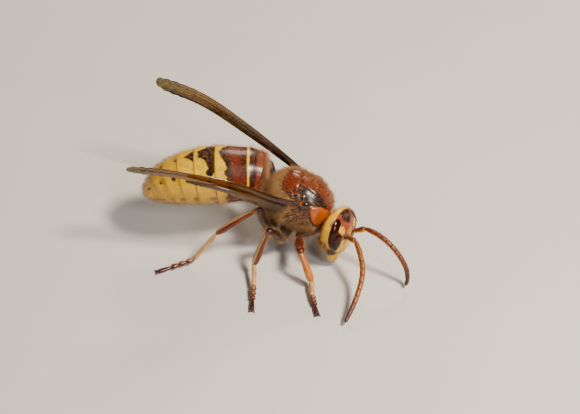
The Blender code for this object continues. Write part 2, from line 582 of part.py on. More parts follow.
def make_tegulae(clear):
    """A glossy scale over the root of each forewing."""
    for side, sign in (("right", -1), ("left", 1)):
        bm = bmesh.new()
        bmesh.ops.create_uvsphere(bm, u_segments=14, v_segments=8, radius=1.0)
        bm.transform(Matrix.Diagonal((*TEGULA_SIZE, 1.0)))
        bm.transform(Matrix.Translation(Vector((TEGULA_AT[0], sign * TEGULA_AT[1], TEGULA_AT[2]))))
        cut_by(add_object("tegula_" + side, bm, "dark", THORAX), clear)


clear_scene()
head_form = add_cutter("clear_of_head", head_body(GAP), HEAD_FRAME)
thorax_form = add_cutter("clear_of_thorax", mesosoma_body(GAP), THORAX)
make_thorax(head_form)
make_head()
make_mandibles(head_form)
make_antennae(head_form)
make_legs(thorax_form)
make_gaster(thorax_form)
make_wings(thorax_form)
make_tegulae(thorax_form)
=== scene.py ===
"""Looks of a life-size male European hornet: cuticle, eyes, wings, legs and hair.

Lengths are millimetres until a mesh is made. The thorax looks along +X, its left is +Y,
and the floor is z = 0. Surfaces are grids of points worked out with numpy.
"""

import bpy
import numpy as np
from mathutils import Matrix


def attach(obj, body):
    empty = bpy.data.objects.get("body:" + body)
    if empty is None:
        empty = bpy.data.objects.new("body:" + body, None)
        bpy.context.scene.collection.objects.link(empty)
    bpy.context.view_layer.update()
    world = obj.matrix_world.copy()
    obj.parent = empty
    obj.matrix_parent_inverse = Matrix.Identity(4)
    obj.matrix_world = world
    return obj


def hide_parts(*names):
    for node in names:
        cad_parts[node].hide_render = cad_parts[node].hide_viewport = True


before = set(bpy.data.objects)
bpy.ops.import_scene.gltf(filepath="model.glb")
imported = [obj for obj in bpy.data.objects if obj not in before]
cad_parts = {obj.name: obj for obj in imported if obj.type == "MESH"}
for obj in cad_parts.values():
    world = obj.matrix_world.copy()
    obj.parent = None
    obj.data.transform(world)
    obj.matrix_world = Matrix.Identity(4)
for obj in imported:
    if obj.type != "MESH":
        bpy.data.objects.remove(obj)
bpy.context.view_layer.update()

MM = 0.001
PI = np.pi
UP = np.array((0.0, 0.0, 1.0))
# A side's name and the sign of its y.
SIDES = (("right", -1), ("left", 1))
# The floor point under the thorax, seen from the middle of the model's outline.
FOOTPRINT = np.array((3.0, 0.5, 0.0))

# Where thorax and head stand, and their yaw, downward pitch and roll in degrees.
THORAX_AT, THORAX_TURN = (0.0, 0.0, 5.9), (0, 13, -7)
HEAD_AT, HEAD_TURN = (4.32, -1.36, 4.0), (-15, 8, -14)
# How square the sections are: 2 is an ellipse, more is squarer.
THORAX_POWER, HEAD_POWER, GASTER_POWER, JAW_POWER = 2.25, 2.2, 2.15, 2.3

# Mesosoma sections, front to rear: x, half-width, top and bottom in thorax axes.
MESOSOMA = (
    (3.35, 0.9, 0.1, -1.5), (3.15, 1.55, 0.75, -1.85), (2.7, 2.05, 1.45, -2.15),
    (2.0, 2.5, 2.15, -2.5), (1.1, 2.75, 2.65, -2.8), (0.1, 2.85, 2.9, -2.95),
    (-0.9, 2.75, 2.95, -2.95), (-1.7, 2.55, 2.9, -2.85), (-2.4, 2.3, 2.5, -2.65),
    (-3.0, 1.95, 1.75, -2.35), (-3.5, 1.5, 0.85, -1.95), (-3.85, 0.95, 0.1, -1.45),
)
# Head sections, chin to vertex: z, half-width, front and rear in head axes.
HEAD = (
    (-2.35, 0.7, 1.15, -0.1), (-2.15, 1.2, 1.42, -0.45), (-1.6, 1.8, 1.62, -0.9),
    (-0.8, 2.35, 1.62, -1.15), (0.0, 2.58, 1.52, -1.2), (0.8, 2.55, 1.35, -1.15),
    (1.5, 2.25, 1.05, -1.0), (2.0, 1.8, 0.65, -0.8), (2.3, 1.25, 0.3, -0.6),
    (2.44, 0.65, 0.0, -0.4),
)
# How much fuller than an oval the head grows by its very rear, as a share.
TEMPLE_FULLNESS = 0.35
# Eyes: where the outline lies and the way it faces; half-width, half-height, rise and lean of the
# oval; then the sinus: depth, height, and spread under and over that height.
EYE_AT, EYE_AIM = (0.6, 1.45), np.radians(62)
EYE_HALF, EYE_RISE, EYE_LEAN = (0.73, 1.88), 0.2, -0.13
SINUS_DEPTH, SINUS_HEIGHT, SINUS_SPREAD = 0.52, 1.12, (0.5, 0.38)
# Where the ocelli stand on the crown: x and y in head axes.
OCELLI = ((0.34, -0.6), (0.34, 0.6), (0.9, 0.05))
# Routes of the jaws in head axes. They are shut, the left one behind the right.
JAWS = {
    "right": ((0.6, -1.25, -1.6), (0.72, -1.1, -2.35), (0.8, -0.8, -3.05), (0.85, -0.38, -3.65)),
    "left": ((0.6, 1.25, -1.6), (0.55, 1.0, -2.35), (0.4, 0.65, -3.0), (0.3, 0.3, -3.5)),
}
# Gaster segments: length, and at the segment's end the half-width, the height over and under the axis,
# and how far the axis points down, in degrees.
GASTER = (
    (1.7, 2.95, 2.85, 2.75, 0), (3.4, 3.15, 3.05, 2.95, 3), (2.15, 3.05, 2.85, 2.85, 9),
    (1.95, 2.7, 2.45, 2.6, 16), (1.6, 2.2, 1.9, 2.15, 25), (1.3, 1.55, 1.25, 1.55, 36),
    (1.3, 0.55, 0.4, 0.55, 46),
)
# Where each segment ends, in mm behind the front ring.
GASTER_ENDS = np.concatenate(([0.0], np.cumsum([segment[0] for segment in GASTER])))
# The front ring's place and half sizes, and in degrees its yaw, the yaw behind the first segment, and
# how far the axis points up at the front.
GASTER_FRONT_AT, GASTER_FRONT_SIZE = (-4.75, 0.45, 7.75), (2.5, 2.4, 2.35)
GASTER_YAW, GASTER_LIFT = (10, 18), 8
# The waist in thorax axes, and the wall that widens from it to the front ring, in even steps: shares
# of the way back and of the way up, and radius.
WAIST_FROM, WAIST_TO = (-3.5, 0, -0.65), (-4.1, 0, -0.6)
FRONT_WALL = ((0.0, 0.0, 0.5), (0.3, 0.12, 0.8), (0.62, 0.5, 1.6), (0.85, 0.82, 2.15), (1.0, 1.0, 2.42))
# Where the rear rims of the first six tergites lie, in mm behind the front ring at the flanks, and
# how much further back they lie on the back.
SEAMS, SEAM_TILTS = (1.56, 4.86, 6.84, 8.36, 9.75, 10.8), (0.06, 0.08, 0.1, 0.22, 0.34, 0.55)

# Joints of each leg: root of the coxa, hip, knee, ankle, ends of the first and the fourth tarsomere, toe.
LEGS = {
    "front_right": ((2.0, -1.15, 3.8), (0.25, -2.2, 2.8), (1.63, -5.74, 3.54),
                    (3.18, -6.84, 0.86), (3.89, -8.68, 0.6), (4.51, -9.84, 0.34), (5.1, -10.92, 0.15)),
    "mid_right": ((-1.1, -1.5, 3.9), (-1.3, -2.7, 2.2), (-2.18, -5.21, 5.18),
                  (-3.24, -6.83, 1.5), (-2.48, -9.25, 0.75), (-2.03, -11.02, 0.36), (-1.65, -12.4, 0.15)),
    "hind_right": ((-2.7, -1.3, 4.7), (-3.0, -2.4, 2.6), (-3.68, -3.85, 6.75),
                   (-7.9, -5.6, 3.6), (-9.97, -7.21, 0.72), (-12.0, -8.82, 0.35), (-13.2, -9.75, 0.15)),
    "front_left": ((2.0, 0.95, 3.5), (1.3, 2.0, 1.95), (0.5, 4.6, 3.9),
                   (1.2, 5.4, 0.86), (2.6, 5.25, 0.6), (3.5, 5.05, 0.34), (4.35, 4.8, 0.15)),
    "mid_left": ((-1.0, 1.3, 3.6), (-1.3, 2.4, 2.0), (-3.0, 4.9, 4.9),
                 (-3.7, 6.6, 1.4), (-3.6, 8.6, 0.75), (-3.6, 10.1, 0.36), (-3.6, 11.3, 0.15)),
    "hind_left": ((-2.7, 1.15, 4.5), (-3.2, 2.2, 2.4), (-5.2, 4.2, 6.8),
                  (-8.8, 5.9, 3.0), (-10.7, 7.6, 0.72), (-12.4, 9.2, 0.35), (-13.3, 10.0, 0.15)),
}
# The left antenna's root in head axes, how brown the upper sides are, and the flagella's routes from
# the elbow to the tip.
SCAPE_ROOT = (1.2, 0.55, 0.05)
ANTENNA_BROWN = {"right": 0.9, "left": 1.8}
ANTENNAE = {
    "right": ((6.9, -3.0, 4.3), (7.75, -4.2, 3.75), (8.5, -5.7, 2.95), (8.75, -7.4, 2.2),
              (8.7, -9.2, 1.45), (8.55, -10.8, 0.95), (8.45, -11.75, 0.7)),
    "left": ((7.5, -1.3, 4.85), (9.0, -1.95, 4.95), (10.5, -2.45, 4.4), (11.7, -2.8, 3.35),
             (12.55, -3.1, 2.1), (12.85, -3.5, 1.0), (12.8, -4.0, 0.45)),
}
# The left forewing's root in thorax axes, and both forewings' routes from there.
WING_ROOT = (0.5, 2.3, 1.0)
WINGS = {
    "right": ((-2.0, -3.2, 7.7), (-7.2, -5.0, 10.1), (-12.0, -6.4, 11.4), (-17.1, -7.6, 11.8)),
    "left": ((-2.8, 3.95, 7.45), (-8.1, 5.2, 9.75), (-13.4, 5.85, 12.05), (-18.9, 6.3, 12.95)),
}
# How far the wings' width leans to the left, in degrees: near the root and at the tip, and where the
# hindwing is set by it.
WING_LEANS = {"right": (-10, -34), "left": (-17, -17)}
HINDWING_LEANS = {"right": -37, "left": -17}
# The left hindwing's root in thorax axes. Its route follows the forewing's from this far outside, and
# ends at this share of the way from the second point to the third. It hangs below by these drops at
# the first three points, or stands above where they are negative.
HINDWING_ROOT, HINDWING_OUT, HINDWING_END = (-0.2, 2.4, 0.5), 0.5, 0.75
HINDWING_DROPS = {"right": (0.3, -0.05, -0.45), "left": (1.3, 0.85, 0.85)}
# Share of a wing's length, and half its width there in mm.
FOREWING_HALF_WIDTHS = ((0.0, 0.3), (0.1, 0.62), (0.3, 0.9), (0.5, 1.1), (0.8, 1.18), (0.9, 1.15),
                        (0.95, 1.06), (0.98, 0.86), (0.994, 0.55), (1.0, 0.06))
HINDWING_HALF_WIDTHS = ((0.0, 0.2), (0.2, 0.6), (0.6, 0.7), (0.85, 0.5), (0.98, 0.22), (1.0, 0.1))
# Veins along a wing: place across it at the root, from -1 at the lower edge to 1 at the upper one,
# drift by the tip, width and strength. Then those across it: share of its length, and from where to
# where across it.
LONG_VEINS = ((-0.97, 0, 0.11, 1.3), (-0.74, 0.05, 0.055, 1.3), (-0.35, 0.25, 0.055, 1.0),
              (0.1, 0.2, 0.055, 1.0), (0.5, -0.1, 0.055, 1.0), (0.96, 0, 0.055, 1.0))
CROSS_VEINS = ((0.42, -0.75, 0.1), (0.55, -0.35, 0.5), (0.66, -0.75, 0.15), (0.78, -0.97, -0.1))
# The left wing-base scale in thorax axes: its place and half sizes.
TEGULA_AT, TEGULA_SIZE = (0.6, 2.74, 1.3), (0.64, 0.28, 0.5)

# Cuticle: refraction, distance between pits and their depth in mm, and how uneven its colour is.
CHITIN_IOR, PIT_MM, PIT_DEPTH_MM, MOTTLE = 1.56, 0.09, 0.006, 0.22
# Hairs: how many stand on a part, and how far a root's corners stand from its middle, in mm. Those of
# the thorax are the number in each of its two pieces.
THORAX_HAIRS, THORAX_HAIR_RADIUS = 8600, 0.0125
HEAD_HAIRS, HEAD_HAIR_RADIUS = 7500, 0.0075
GASTER_HAIRS, GASTER_HAIR_RADIUS = 10500, 0.0072
LEG_HAIR_RADIUS = 0.0085
# Waves in a mm of the noise that gathers hairs into tufts, and how far a hair's tip bends over, as a
# share of its length.
TUFTS_PER_MM, HAIR_CURL = 2.4, 0.3

# Lamps: name, place in metres, power in watts, width in metres, colour. All face the point under them,
# which is followed by the strength of the light from all round and half the floor's width in metres.
LAMPS = (
    ("key", (0.132, -0.026, 0.2), 0.85, 0.045, "#fff0dc"),
    ("window", (0.16, -0.13, 0.165), 0.24, 0.06, "#f2f4ff"),
    ("rim", (-0.02, 0.21, 0.14), 0.22, 0.06, "#fff2dc"),
)
LAMPS_AIM, ROOM_LIGHT, FLOOR_HALF_WIDTH = (0, 0, 0.006), 0.14, 0.6

# The camera: degrees round from the model's right side and above the floor, and distance in mm. The
# photo's scale in pixels a millimetre and width in pixels, and the sensor's width in mm.
CAMERA_AZIMUTH, CAMERA_ELEVATION, CAMERA_DISTANCE = 18.0, 40.0, 260.0
PIXELS_PER_MM, PHOTO_WIDTH, SENSOR_WIDTH = 9.3, 580, 36.0
# What the picture's middle shows: a height over the thorax's floor point, moved right and up in the picture.
AIM_HEIGHT, AIM_SIDE, AIM_RISE = 5.89, -1.366, -0.763


def linear(code):
    """An sRGB hex colour as linear RGBA: the sRGB curve undone for each channel."""
    value = np.array([int(code[i:i + 2], 16) for i in (1, 3, 5)]) / 255
    value = np.where(value <= 0.04045, value / 12.92, ((value + 0.055) / 1.055) ** 2.4)
    return (*value, 1.0)


def turned(at, turn):
    """Rotation and place of a part: rolled about x, pitched nose down, then yawed."""
    yaw, pitch, roll = np.radians(turn)
    about_z = np.array([[np.cos(yaw), -np.sin(yaw), 0], [np.sin(yaw), np.cos(yaw), 0], [0, 0, 1]])
    about_y = np.array([[np.cos(pitch), 0, np.sin(pitch)], [0, 1, 0], [-np.sin(pitch), 0, np.cos(pitch)]])
    about_x = np.array([[1, 0, 0], [0, np.cos(roll), -np.sin(roll)], [0, np.sin(roll), np.cos(roll)]])
    return about_z @ about_y @ about_x, np.array(at)


THORAX = turned(THORAX_AT, THORAX_TURN)
HEAD_FRAME = turned(HEAD_AT, HEAD_TURN)


def placed(points, where):
    """Points turned and moved from a part's own axes to the model's."""
    rotation, at = where
    return np.asarray(points) @ rotation.T + at


def mirrored(point, sign, where):
    """A point of a part's left side, or its mirror image on the right where sign is -1, in place."""
    return placed(np.array((point[0], sign * point[1], point[2])), where)


def step(x, low, high):
    """0 below low, 1 above high, and a smooth cubic between; low may lie above high."""
    t = np.clip((x - low) / (high - low), 0, 1)
    return t * t * (3 - 2 * t)


def bump(x, width):
    """A bell of height 1 at 0."""
    return np.exp(-(x / width) ** 2)


def curve(x, knots, values):
    """A smooth curve through a few values: a cubic between each pair, level where they turn."""
    knots, values = np.asarray(knots, float), np.asarray(values, float)
    if knots[0] > knots[-1]:
        knots, values = knots[::-1], values[::-1]
    width, rise = np.diff(knots), np.diff(values) / np.diff(knots)
    both = rise[:-1] * rise[1:]
    inner = np.where(both > 0, 2 * both / np.where(both > 0, rise[:-1] + rise[1:], 1), 0)
    slope = np.concatenate(([rise[0]], inner, [rise[-1]]))
    x = np.clip(x, knots[0], knots[-1])
    i = np.clip(np.searchsorted(knots, x) - 1, 0, len(width) - 1)
    t = (x - knots[i]) / width[i]
    return (values[i] * (1 + 2 * t) * (1 - t) ** 2 + slope[i] * width[i] * t * (1 - t) ** 2
            + values[i + 1] * t * t * (3 - 2 * t) - slope[i + 1] * width[i] * t * t * (1 - t))


def unit(vectors):
    """Vectors divided by their own lengths."""
    return vectors / np.maximum(np.linalg.norm(vectors, axis=-1, keepdims=True), 1e-12)


def ring_angles(cols):
    """Equal angles round a closed ring: a full turn shared among its columns."""
    return np.arange(cols) * 2 * PI / cols


def noise(points, scale, seed):
    """Smooth, repeatable variation from about -1 to 1: seven crossed sine waves, about scale of them a mm."""
    rng = np.random.default_rng(seed)
    ways, phases = unit(rng.normal(size=(7, 3))), rng.uniform(0, 2 * PI, 7)
    rates = scale * 2 * PI * rng.uniform(0.6, 1.6, 7)
    return sum(np.sin(points @ way * rate + phase) for way, rate, phase in zip(ways, rates, phases)) / 3.5


def halved(low, high, is_beyond, rounds):
    """Where a place between low and high passes from inside to beyond, found by halving."""
    for _ in range(rounds):
        middle = (low + high) / 2
        beyond = is_beyond(middle)
        low, high = np.where(beyond, low, middle), np.where(beyond, middle, high)
    return low


def grid_normals(grid):
    """Unit normals of a grid of rows by columns that closes round: the crossed differences, pointing out."""
    along = np.gradient(grid, axis=0)
    round_ = np.roll(grid, -1, axis=1) - np.roll(grid, 1, axis=1)
    normals = unit(np.cross(along, round_))
    outward = grid - grid.mean(axis=1, keepdims=True)
    return normals * np.sign((normals * outward).sum())


def closed_grid(grid, marks=None):
    """Vertices, faces and marks of a tube of rows, its two ends closed by fans about their middles."""
    rows, cols = grid.shape[:2]
    count = rows * cols
    points = np.vstack((grid.reshape(-1, 3), grid[0].mean(0), grid[-1].mean(0)))
    index = np.arange(count).reshape(rows, cols)
    beside = np.roll(index, -1, axis=1)
    quads = np.stack((index[:-1], beside[:-1], beside[1:], index[1:]), -1).reshape(-1, 4)
    start = np.stack((beside[0], index[0], np.full(cols, count)), -1)
    end = np.stack((index[-1], beside[-1], np.full(cols, count + 1)), -1)
    faces = quads.tolist() + start.tolist() + end.tolist()
    if marks is None:
        marks = np.zeros((rows, cols, 3))
    marks = np.vstack((marks.reshape(-1, 3), marks[0].mean(0), marks[-1].mean(0)))
    first, second, third = (points[quads[:, k]] for k in range(3))
    if np.einsum("ij,ij->", first - points.mean(0), np.cross(second - first, third - first)) < 0:
        faces = [face[::-1] for face in faces]
    return points, faces, marks


def added(name, data):
    """A new object in the scene that holds a mesh, a lamp or a camera."""
    made = bpy.data.objects.new(name, data)
    bpy.context.scene.collection.objects.link(made)
    return made


def joined(parts):
    """Several (vertices, faces, marks) as one."""
    points, faces, marks, count = [], [], [], 0
    for some_points, some_faces, some_marks in parts:
        points.append(some_points)
        marks.append(some_marks)
        faces += [[i + count for i in face] for face in some_faces]
        count += len(some_points)
    return np.vstack(points), faces, np.vstack(marks)


def piece(name, shape, finish, slot, nodes=()):
    """A mesh in place, with its marks as a colour attribute, that rides on the body."""
    points, faces, marks = shape
    mesh = bpy.data.meshes.new(name)
    mesh.from_pydata(((points + FOOTPRINT) * MM).tolist(), [], faces)
    layer = mesh.color_attributes.new("marks", "FLOAT_COLOR", "POINT")
    layer.data.foreach_set("color", np.column_stack((marks, np.ones(len(marks)))).astype(np.float32).ravel())
    mesh.shade_smooth()
    mesh.materials.append(finish)
    obj = added(name, mesh)
    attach(obj, "root")
    if nodes:
        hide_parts(*nodes)
    return obj


def node(tree, kind, inputs=None, **settings):
    """One shader node: its settings, then each input set to a value or linked to an output."""
    made = tree.nodes.new(kind)
    for key, value in settings.items():
        setattr(made, key, value)
    for key, value in (inputs or {}).items():
        if isinstance(value, bpy.types.NodeSocket):
            tree.links.new(value, made.inputs[key])
        else:
            made.inputs[key].default_value = value
    return made


def new_finish(name):
    """A new material, its node tree and its shader."""
    finish = bpy.data.materials.new(name)
    finish.use_nodes = True
    tree = finish.node_tree
    return finish, tree, tree.nodes["Principled BSDF"]


def textured(tree, kind, place, size_mm, inputs=None, **settings):
    """A texture whose features lie about size_mm apart."""
    return node(tree, kind, {"Vector": place, "Scale": 1 / (size_mm * MM), **(inputs or {})}, **settings)


def spanned(tree, value, low, high):
    """A noise texture's value, which mostly runs from 0.3 to 0.7, as a number from low to high."""
    made = node(tree, "ShaderNodeMapRange", {"Value": value, "From Min": 0.3, "From Max": 0.7,
                                             "To Min": low, "To Max": high})
    return made.outputs[0]


def mottled(tree, place, colour, scale_mm, amount):
    """The colour made darker and lighter by soft noise whose patches are scale_mm across."""
    patches = textured(tree, "ShaderNodeTexNoise", place, scale_mm, {"Detail": 4.0})
    shade = spanned(tree, patches.outputs["Fac"], 1 - amount, 1 + amount)
    if isinstance(colour, tuple):
        colour = colour[:3]
    return node(tree, "ShaderNodeVectorMath", {0: colour, "Scale": shade}, operation="SCALE").outputs[0]


def painted(tree, base, layers):
    """A base colour with others laid over it in turn, each by one of the piece's three marks."""
    paint = node(tree, "ShaderNodeAttribute", attribute_name="marks")
    marks = node(tree, "ShaderNodeSeparateColor", {"Color": paint.outputs["Color"]}).outputs
    colour = linear(base)
    for mark, code in layers:
        blend = {0: marks[mark], 6: colour, 7: linear(code)}
        colour = node(tree, "ShaderNodeMix", blend, data_type="RGBA").outputs[2]
    return colour


def embossed(tree, shader, height, strength, depth_mm, **settings):
    """The shader's surface raised and sunk, to the eye, by a height."""
    relief = node(tree, "ShaderNodeBump", {"Height": height, "Strength": strength, "Distance": depth_mm * MM},
                  **settings)
    tree.links.new(relief.outputs[0], shader.inputs["Normal"])


def cuticle(name, base, marks, roughness, coat=0.12):
    """Chitin hardened by tanning: a waxy, finely pitted surface, clear over its pigment.

    The eye sees warm colour a little way in, broad soft gloss and a sparkle of fine pits. The three
    marks take their places from the piece's own attribute. Pits are drawn PIT_MM apart, several
    times coarser than the real ones, so that they show.
    """
    finish, tree, shader = new_finish(name)
    place = node(tree, "ShaderNodeTexCoord").outputs["Object"]
    colour = painted(tree, base, enumerate(marks))
    colour = mottled(tree, place, colour, 0.7, MOTTLE)
    colour = mottled(tree, place, colour, 0.12, MOTTLE * 0.6)
    tree.links.new(colour, shader.inputs["Base Color"])
    pits = textured(tree, "ShaderNodeTexVoronoi", place, PIT_MM, feature="SMOOTH_F1").outputs["Distance"]
    grain = textured(tree, "ShaderNodeTexNoise", place, PIT_MM * 0.6, {"Detail": 3.0}).outputs["Fac"]
    height = node(tree, "ShaderNodeMath", {0: pits, 1: grain}, operation="ADD").outputs[0]
    embossed(tree, shader, height, 0.6, PIT_DEPTH_MM)
    worn = spanned(tree, grain, roughness * 0.8, roughness * 1.25)
    tree.links.new(worn, shader.inputs["Roughness"])
    shader.inputs["IOR"].default_value = CHITIN_IOR
    shader.inputs["Coat Weight"].default_value = coat
    shader.inputs["Coat Roughness"].default_value = 0.18
    return finish


def superellipse(across, over, under, angles, power):
    """Points (across, up) at angles round a rounded oval, its lower half with its own height."""
    c, s = np.cos(angles), np.sin(angles)
    wide = across * np.sign(c) * np.abs(c) ** (2 / power)
    high = np.where(s >= 0, over, under) * np.sign(s) * np.abs(s) ** (2 / power)
    return wide, high


def thorax_base(rows, cols):
    """Mesosoma grid in its own axes: superellipse sections carried from the neck to the waist."""
    table = np.array(MESOSOMA)
    share = np.linspace(0, 1, rows)
    ends = 0.5 * (1 - np.cos(PI * share))
    x = table[0, 0] + (table[-1, 0] - table[0, 0]) * (0.6 * ends + 0.4 * share)
    half, top, bottom = (curve(x, table[:, 0], table[:, k])[:, None] for k in (1, 2, 3))
    middle, reach = (top + bottom) / 2, (top - bottom) / 2
    y, z = superellipse(half, reach, reach, ring_angles(cols), THORAX_POWER)
    return np.stack((np.broadcast_to(x[:, None], y.shape), y, middle + z), -1)


def thorax_plates(grid):
    """Distances in mm past the thorax's seams: how far ahead of the scutum's rear edge, of the
    scutellum's, of the metanotum's and of the pronotum's, and how far above the scutum's side edge.
    """
    x, y, z = np.moveaxis(grid, -1, 0)
    side = np.abs(y + 0.12)
    share = np.minimum(side / 2.1, 1.15)
    scutum = x + 0.85 - 0.3 * step(side, 0.1, 0.8) + 0.9 * step(side, 1.55, 2.1)
    scutellum = x + 2.55 - 0.35 * share ** 2 - 0.55 * share ** 8
    metanotum = scutellum + 0.45
    collar = x - curve(z, (-1.15, -0.48, 0.48, 1.34), (2.6, 1.85, 1.39, 1.15))
    rim = z - curve(x, (-1.0, 1.0, 2.2, 2.8, 3.23, 3.35), (1.25, 1.34, 1.31, 0.95, 0.45, 0.2))
    return scutum, scutellum, metanotum, collar, rim


def thorax_sculpt(grid):
    """Heights of the plates over the plain mesosoma, in mm: seams are grooves, plates swell between them."""
    x, y, z = np.moveaxis(grid, -1, 0)
    side = np.abs(y)
    scutum, scutellum, metanotum, collar, rim = thorax_plates(grid)
    over = step(z, 0.9, 1.4)
    lift = -0.15 * bump(scutum, 0.09) * over * step(side, 2.45, 2.2)
    lift -= 0.14 * bump(scutellum, 0.09) * over
    lift -= 0.12 * bump(metanotum, 0.08) * step(z, 0.6, 1.1)
    lobe = np.clip(np.minimum(-scutum, scutellum) / 0.75, 0, 1) * step(side, 2.2, 1.7)
    lift += 0.17 * np.sqrt(lobe * (2 - lobe)) * over
    lift -= 0.09 * bump(y + 0.1, 0.08) * step(scutum, 0.0, -0.1) * step(scutellum, 0.1, 0.3) * over
    lift -= 0.13 * bump(rim, 0.08) * step(x, -1.0, -0.6) * step(x, 3.2, 2.9)
    ahead = step(z, 1.3, 1.1) * step(z, -1.3, -1.0)
    lift -= 0.11 * bump(collar, 0.08) * ahead
    lift += 0.05 * step(collar, 0.05, 0.3) * ahead
    lift -= 0.08 * bump(z + 1.06, 0.09) * step(collar, -0.1, 0.1)
    lift -= 0.1 * bump(x + 0.95 - 0.1 * z, 0.09) * step(z, 1.0, 0.6) * step(z, -2.6, -2.0)
    lift -= 0.07 * bump(z - 0.1 - 0.25 * np.sin(x), 0.07) * step(x, 1.5, 1.2) * step(x, -0.9, -0.6)
    lift -= 0.035 * bump(side - 1.3 - 0.06 * x, 0.05) * step(x, -0.7, -0.3) * step(x, 1.6, 1.0) * over
    lift -= 0.05 * bump(y + 0.1, 0.05) * step(x, 0.4, 1.2) * over
    sockets = step(side, 2.05, 2.3) * step(z, 0.4, 0.8) * step(x, 0.9, 0.5) * step(x, -2.9, -2.4)
    lift += 0.07 * np.sin(9 * x + 3 * z) * sockets
    lift -= 0.16 * bump(y, 0.28) * step(x, -3.0, -3.3) * step(z, -1.2, 0.0)
    return lift + 0.01 * noise(grid, 0.9, 3)


def thorax_marks(grid):
    """Red, black and orange of the thorax by place: a red band down the black scutum, an orange collar."""
    x, y, z = np.moveaxis(grid, -1, 0)
    side = np.abs(y + 0.12)
    soft = 0.06 * noise(grid, 0.8, 4)
    scutum, scutellum, metanotum, collar, rim = thorax_plates(grid)
    on_scutum = step(rim, -0.02, 0.05) * step(scutum, -0.02, 0.05)
    inner = curve(x, (-0.6, -0.35, 0.7, 1.5, 2.4, 2.8), (1.75, 1.3, 1.06, 0.92, 0.98, 1.05))
    outer = curve(x, (-0.6, 0.2, 0.8, 1.6, 2.4), (1.9, 2.22, 2.36, 2.5, 2.7))
    patch = step(side + soft, inner - 0.04, inner + 0.05) * step(side + soft, outer + 0.08, outer - 0.04)
    patch *= step(x, -0.65, -0.5)
    behind = step(scutum, 0.02, -0.05) * step(metanotum, -0.05, 0.0)
    behind = behind * step(z, 0.9, 1.2) * step(side, 2.15, 2.0)
    seam = np.clip(bump(scutum, 0.07) + bump(scutellum, 0.07), 0, 1) * step(z, 1.0, 1.3)
    sockets = step(side, 2.05, 2.2) * step(z, 0.3, 0.7) * step(x, 0.9, 0.6) * step(x, -3.0, -2.6)
    plate = step(rim, 0.02, -0.04) * step(collar, 0.0, 0.06) * step(z + soft, -1.1, -0.98)
    from_flank = np.hypot((x - 0.5) / 1.3, (z + 0.5) / 0.95)
    flank = 0.55 * step(from_flank + 3 * soft, 1.1, 0.6) * step(collar, 0.0, -0.1)
    red = on_scutum * (1 - patch) + flank * step(rim, 0.0, -0.1)
    black = np.clip(on_scutum * patch + 0.85 * seam + 0.8 * sockets, 0, 1)
    red = np.clip((red + behind) * (1 - 0.85 * seam) * (1 - sockets), 0, 1)
    return np.stack((red, black, np.clip(plate, 0, 1)), -1)


def thorax_grid(rows=220, cols=220):
    """The sculpted thorax in place, and its marks: the plain mesosoma moved along its normals."""
    base = thorax_base(rows, cols)
    marks = thorax_marks(base)
    sculpted = base + grid_normals(base) * thorax_sculpt(base)[..., None]
    return placed(sculpted, THORAX), marks


def head_section(z):
    """Half-width, middle and half-depth of the plain head at height z."""
    table = np.array(HEAD)
    half, front, rear = (curve(z, table[:, 0], table[:, k]) for k in (1, 2, 3))
    return half, (front + rear) / 2, (front - rear) / 2


def temples(deep, depth):
    """How much fuller than an oval the head is: more by the square of the share of its depth behind."""
    return np.where(deep < 0, 1 + TEMPLE_FULLNESS * (deep / depth) ** 2, 1)


def head_point(z, angles):
    """Plain head in its own axes at height z and angle round it: 0 at its left, a quarter turn in front."""
    half, middle, depth = head_section(z)
    wide, deep = superellipse(half, depth, depth, angles, HEAD_POWER)
    return np.stack((middle + deep, wide * temples(deep, depth), z + 0 * deep), -1)


def outside_head(points):
    """Over 1 outside the plain head, under 1 inside."""
    x, y, z = np.moveaxis(points, -1, 0)
    half, middle, depth = head_section(z)
    deep = x - middle
    wide = y / temples(deep, depth)
    around = np.abs(wide / half) ** HEAD_POWER + np.abs(deep / depth) ** HEAD_POWER
    return around + step(np.abs(z), 2.3, 2.6) * 2


def eye_axes(sign):
    """Where an eye's outline is drawn: origin, its way out, across towards the face, and up, in head axes."""
    out = np.array((np.cos(EYE_AIM), sign * np.sin(EYE_AIM), 0))
    across = np.array((np.sin(EYE_AIM), -sign * np.cos(EYE_AIM), 0))
    return np.array((EYE_AT[0], sign * EYE_AT[1], 0.0)), out, across, np.array((0.0, 0.0, 1.0))


def eye_outline(angles):
    """A kidney: a tall leaning oval with the sinus of a hornet's eye bitten into its inner side."""
    up = EYE_RISE + EYE_HALF[1] * np.sin(angles)
    spread = np.where(up < SINUS_HEIGHT, SINUS_SPREAD[0], SINUS_SPREAD[1])
    bite = SINUS_DEPTH * bump(up - SINUS_HEIGHT, spread) * np.clip(np.cos(angles), 0, None)
    return np.stack((EYE_HALF[0] * np.cos(angles) - bite + EYE_LEAN * up, up), -1)


def distance_to(outline, points):
    """Distance of points to a closed outline in a plane, minus inside it."""
    start, end = outline, np.roll(outline, -1, axis=0)
    way = end - start
    off = points[..., None, :] - start
    share = np.clip((off * way).sum(-1) / (way ** 2).sum(-1), 0, 1)
    near = np.linalg.norm(off - share[..., None] * way, axis=-1).min(-1)
    across, up = points[..., None, 0], points[..., None, 1]
    crosses = (start[:, 1] > up) != (end[:, 1] > up)
    reach = start[:, 0] + (up - start[:, 1]) * way[:, 0] / np.where(way[:, 1] == 0, 1, way[:, 1])
    inside = (crosses & (across < reach)).sum(-1) % 2 == 1
    return np.where(inside, -near, near)


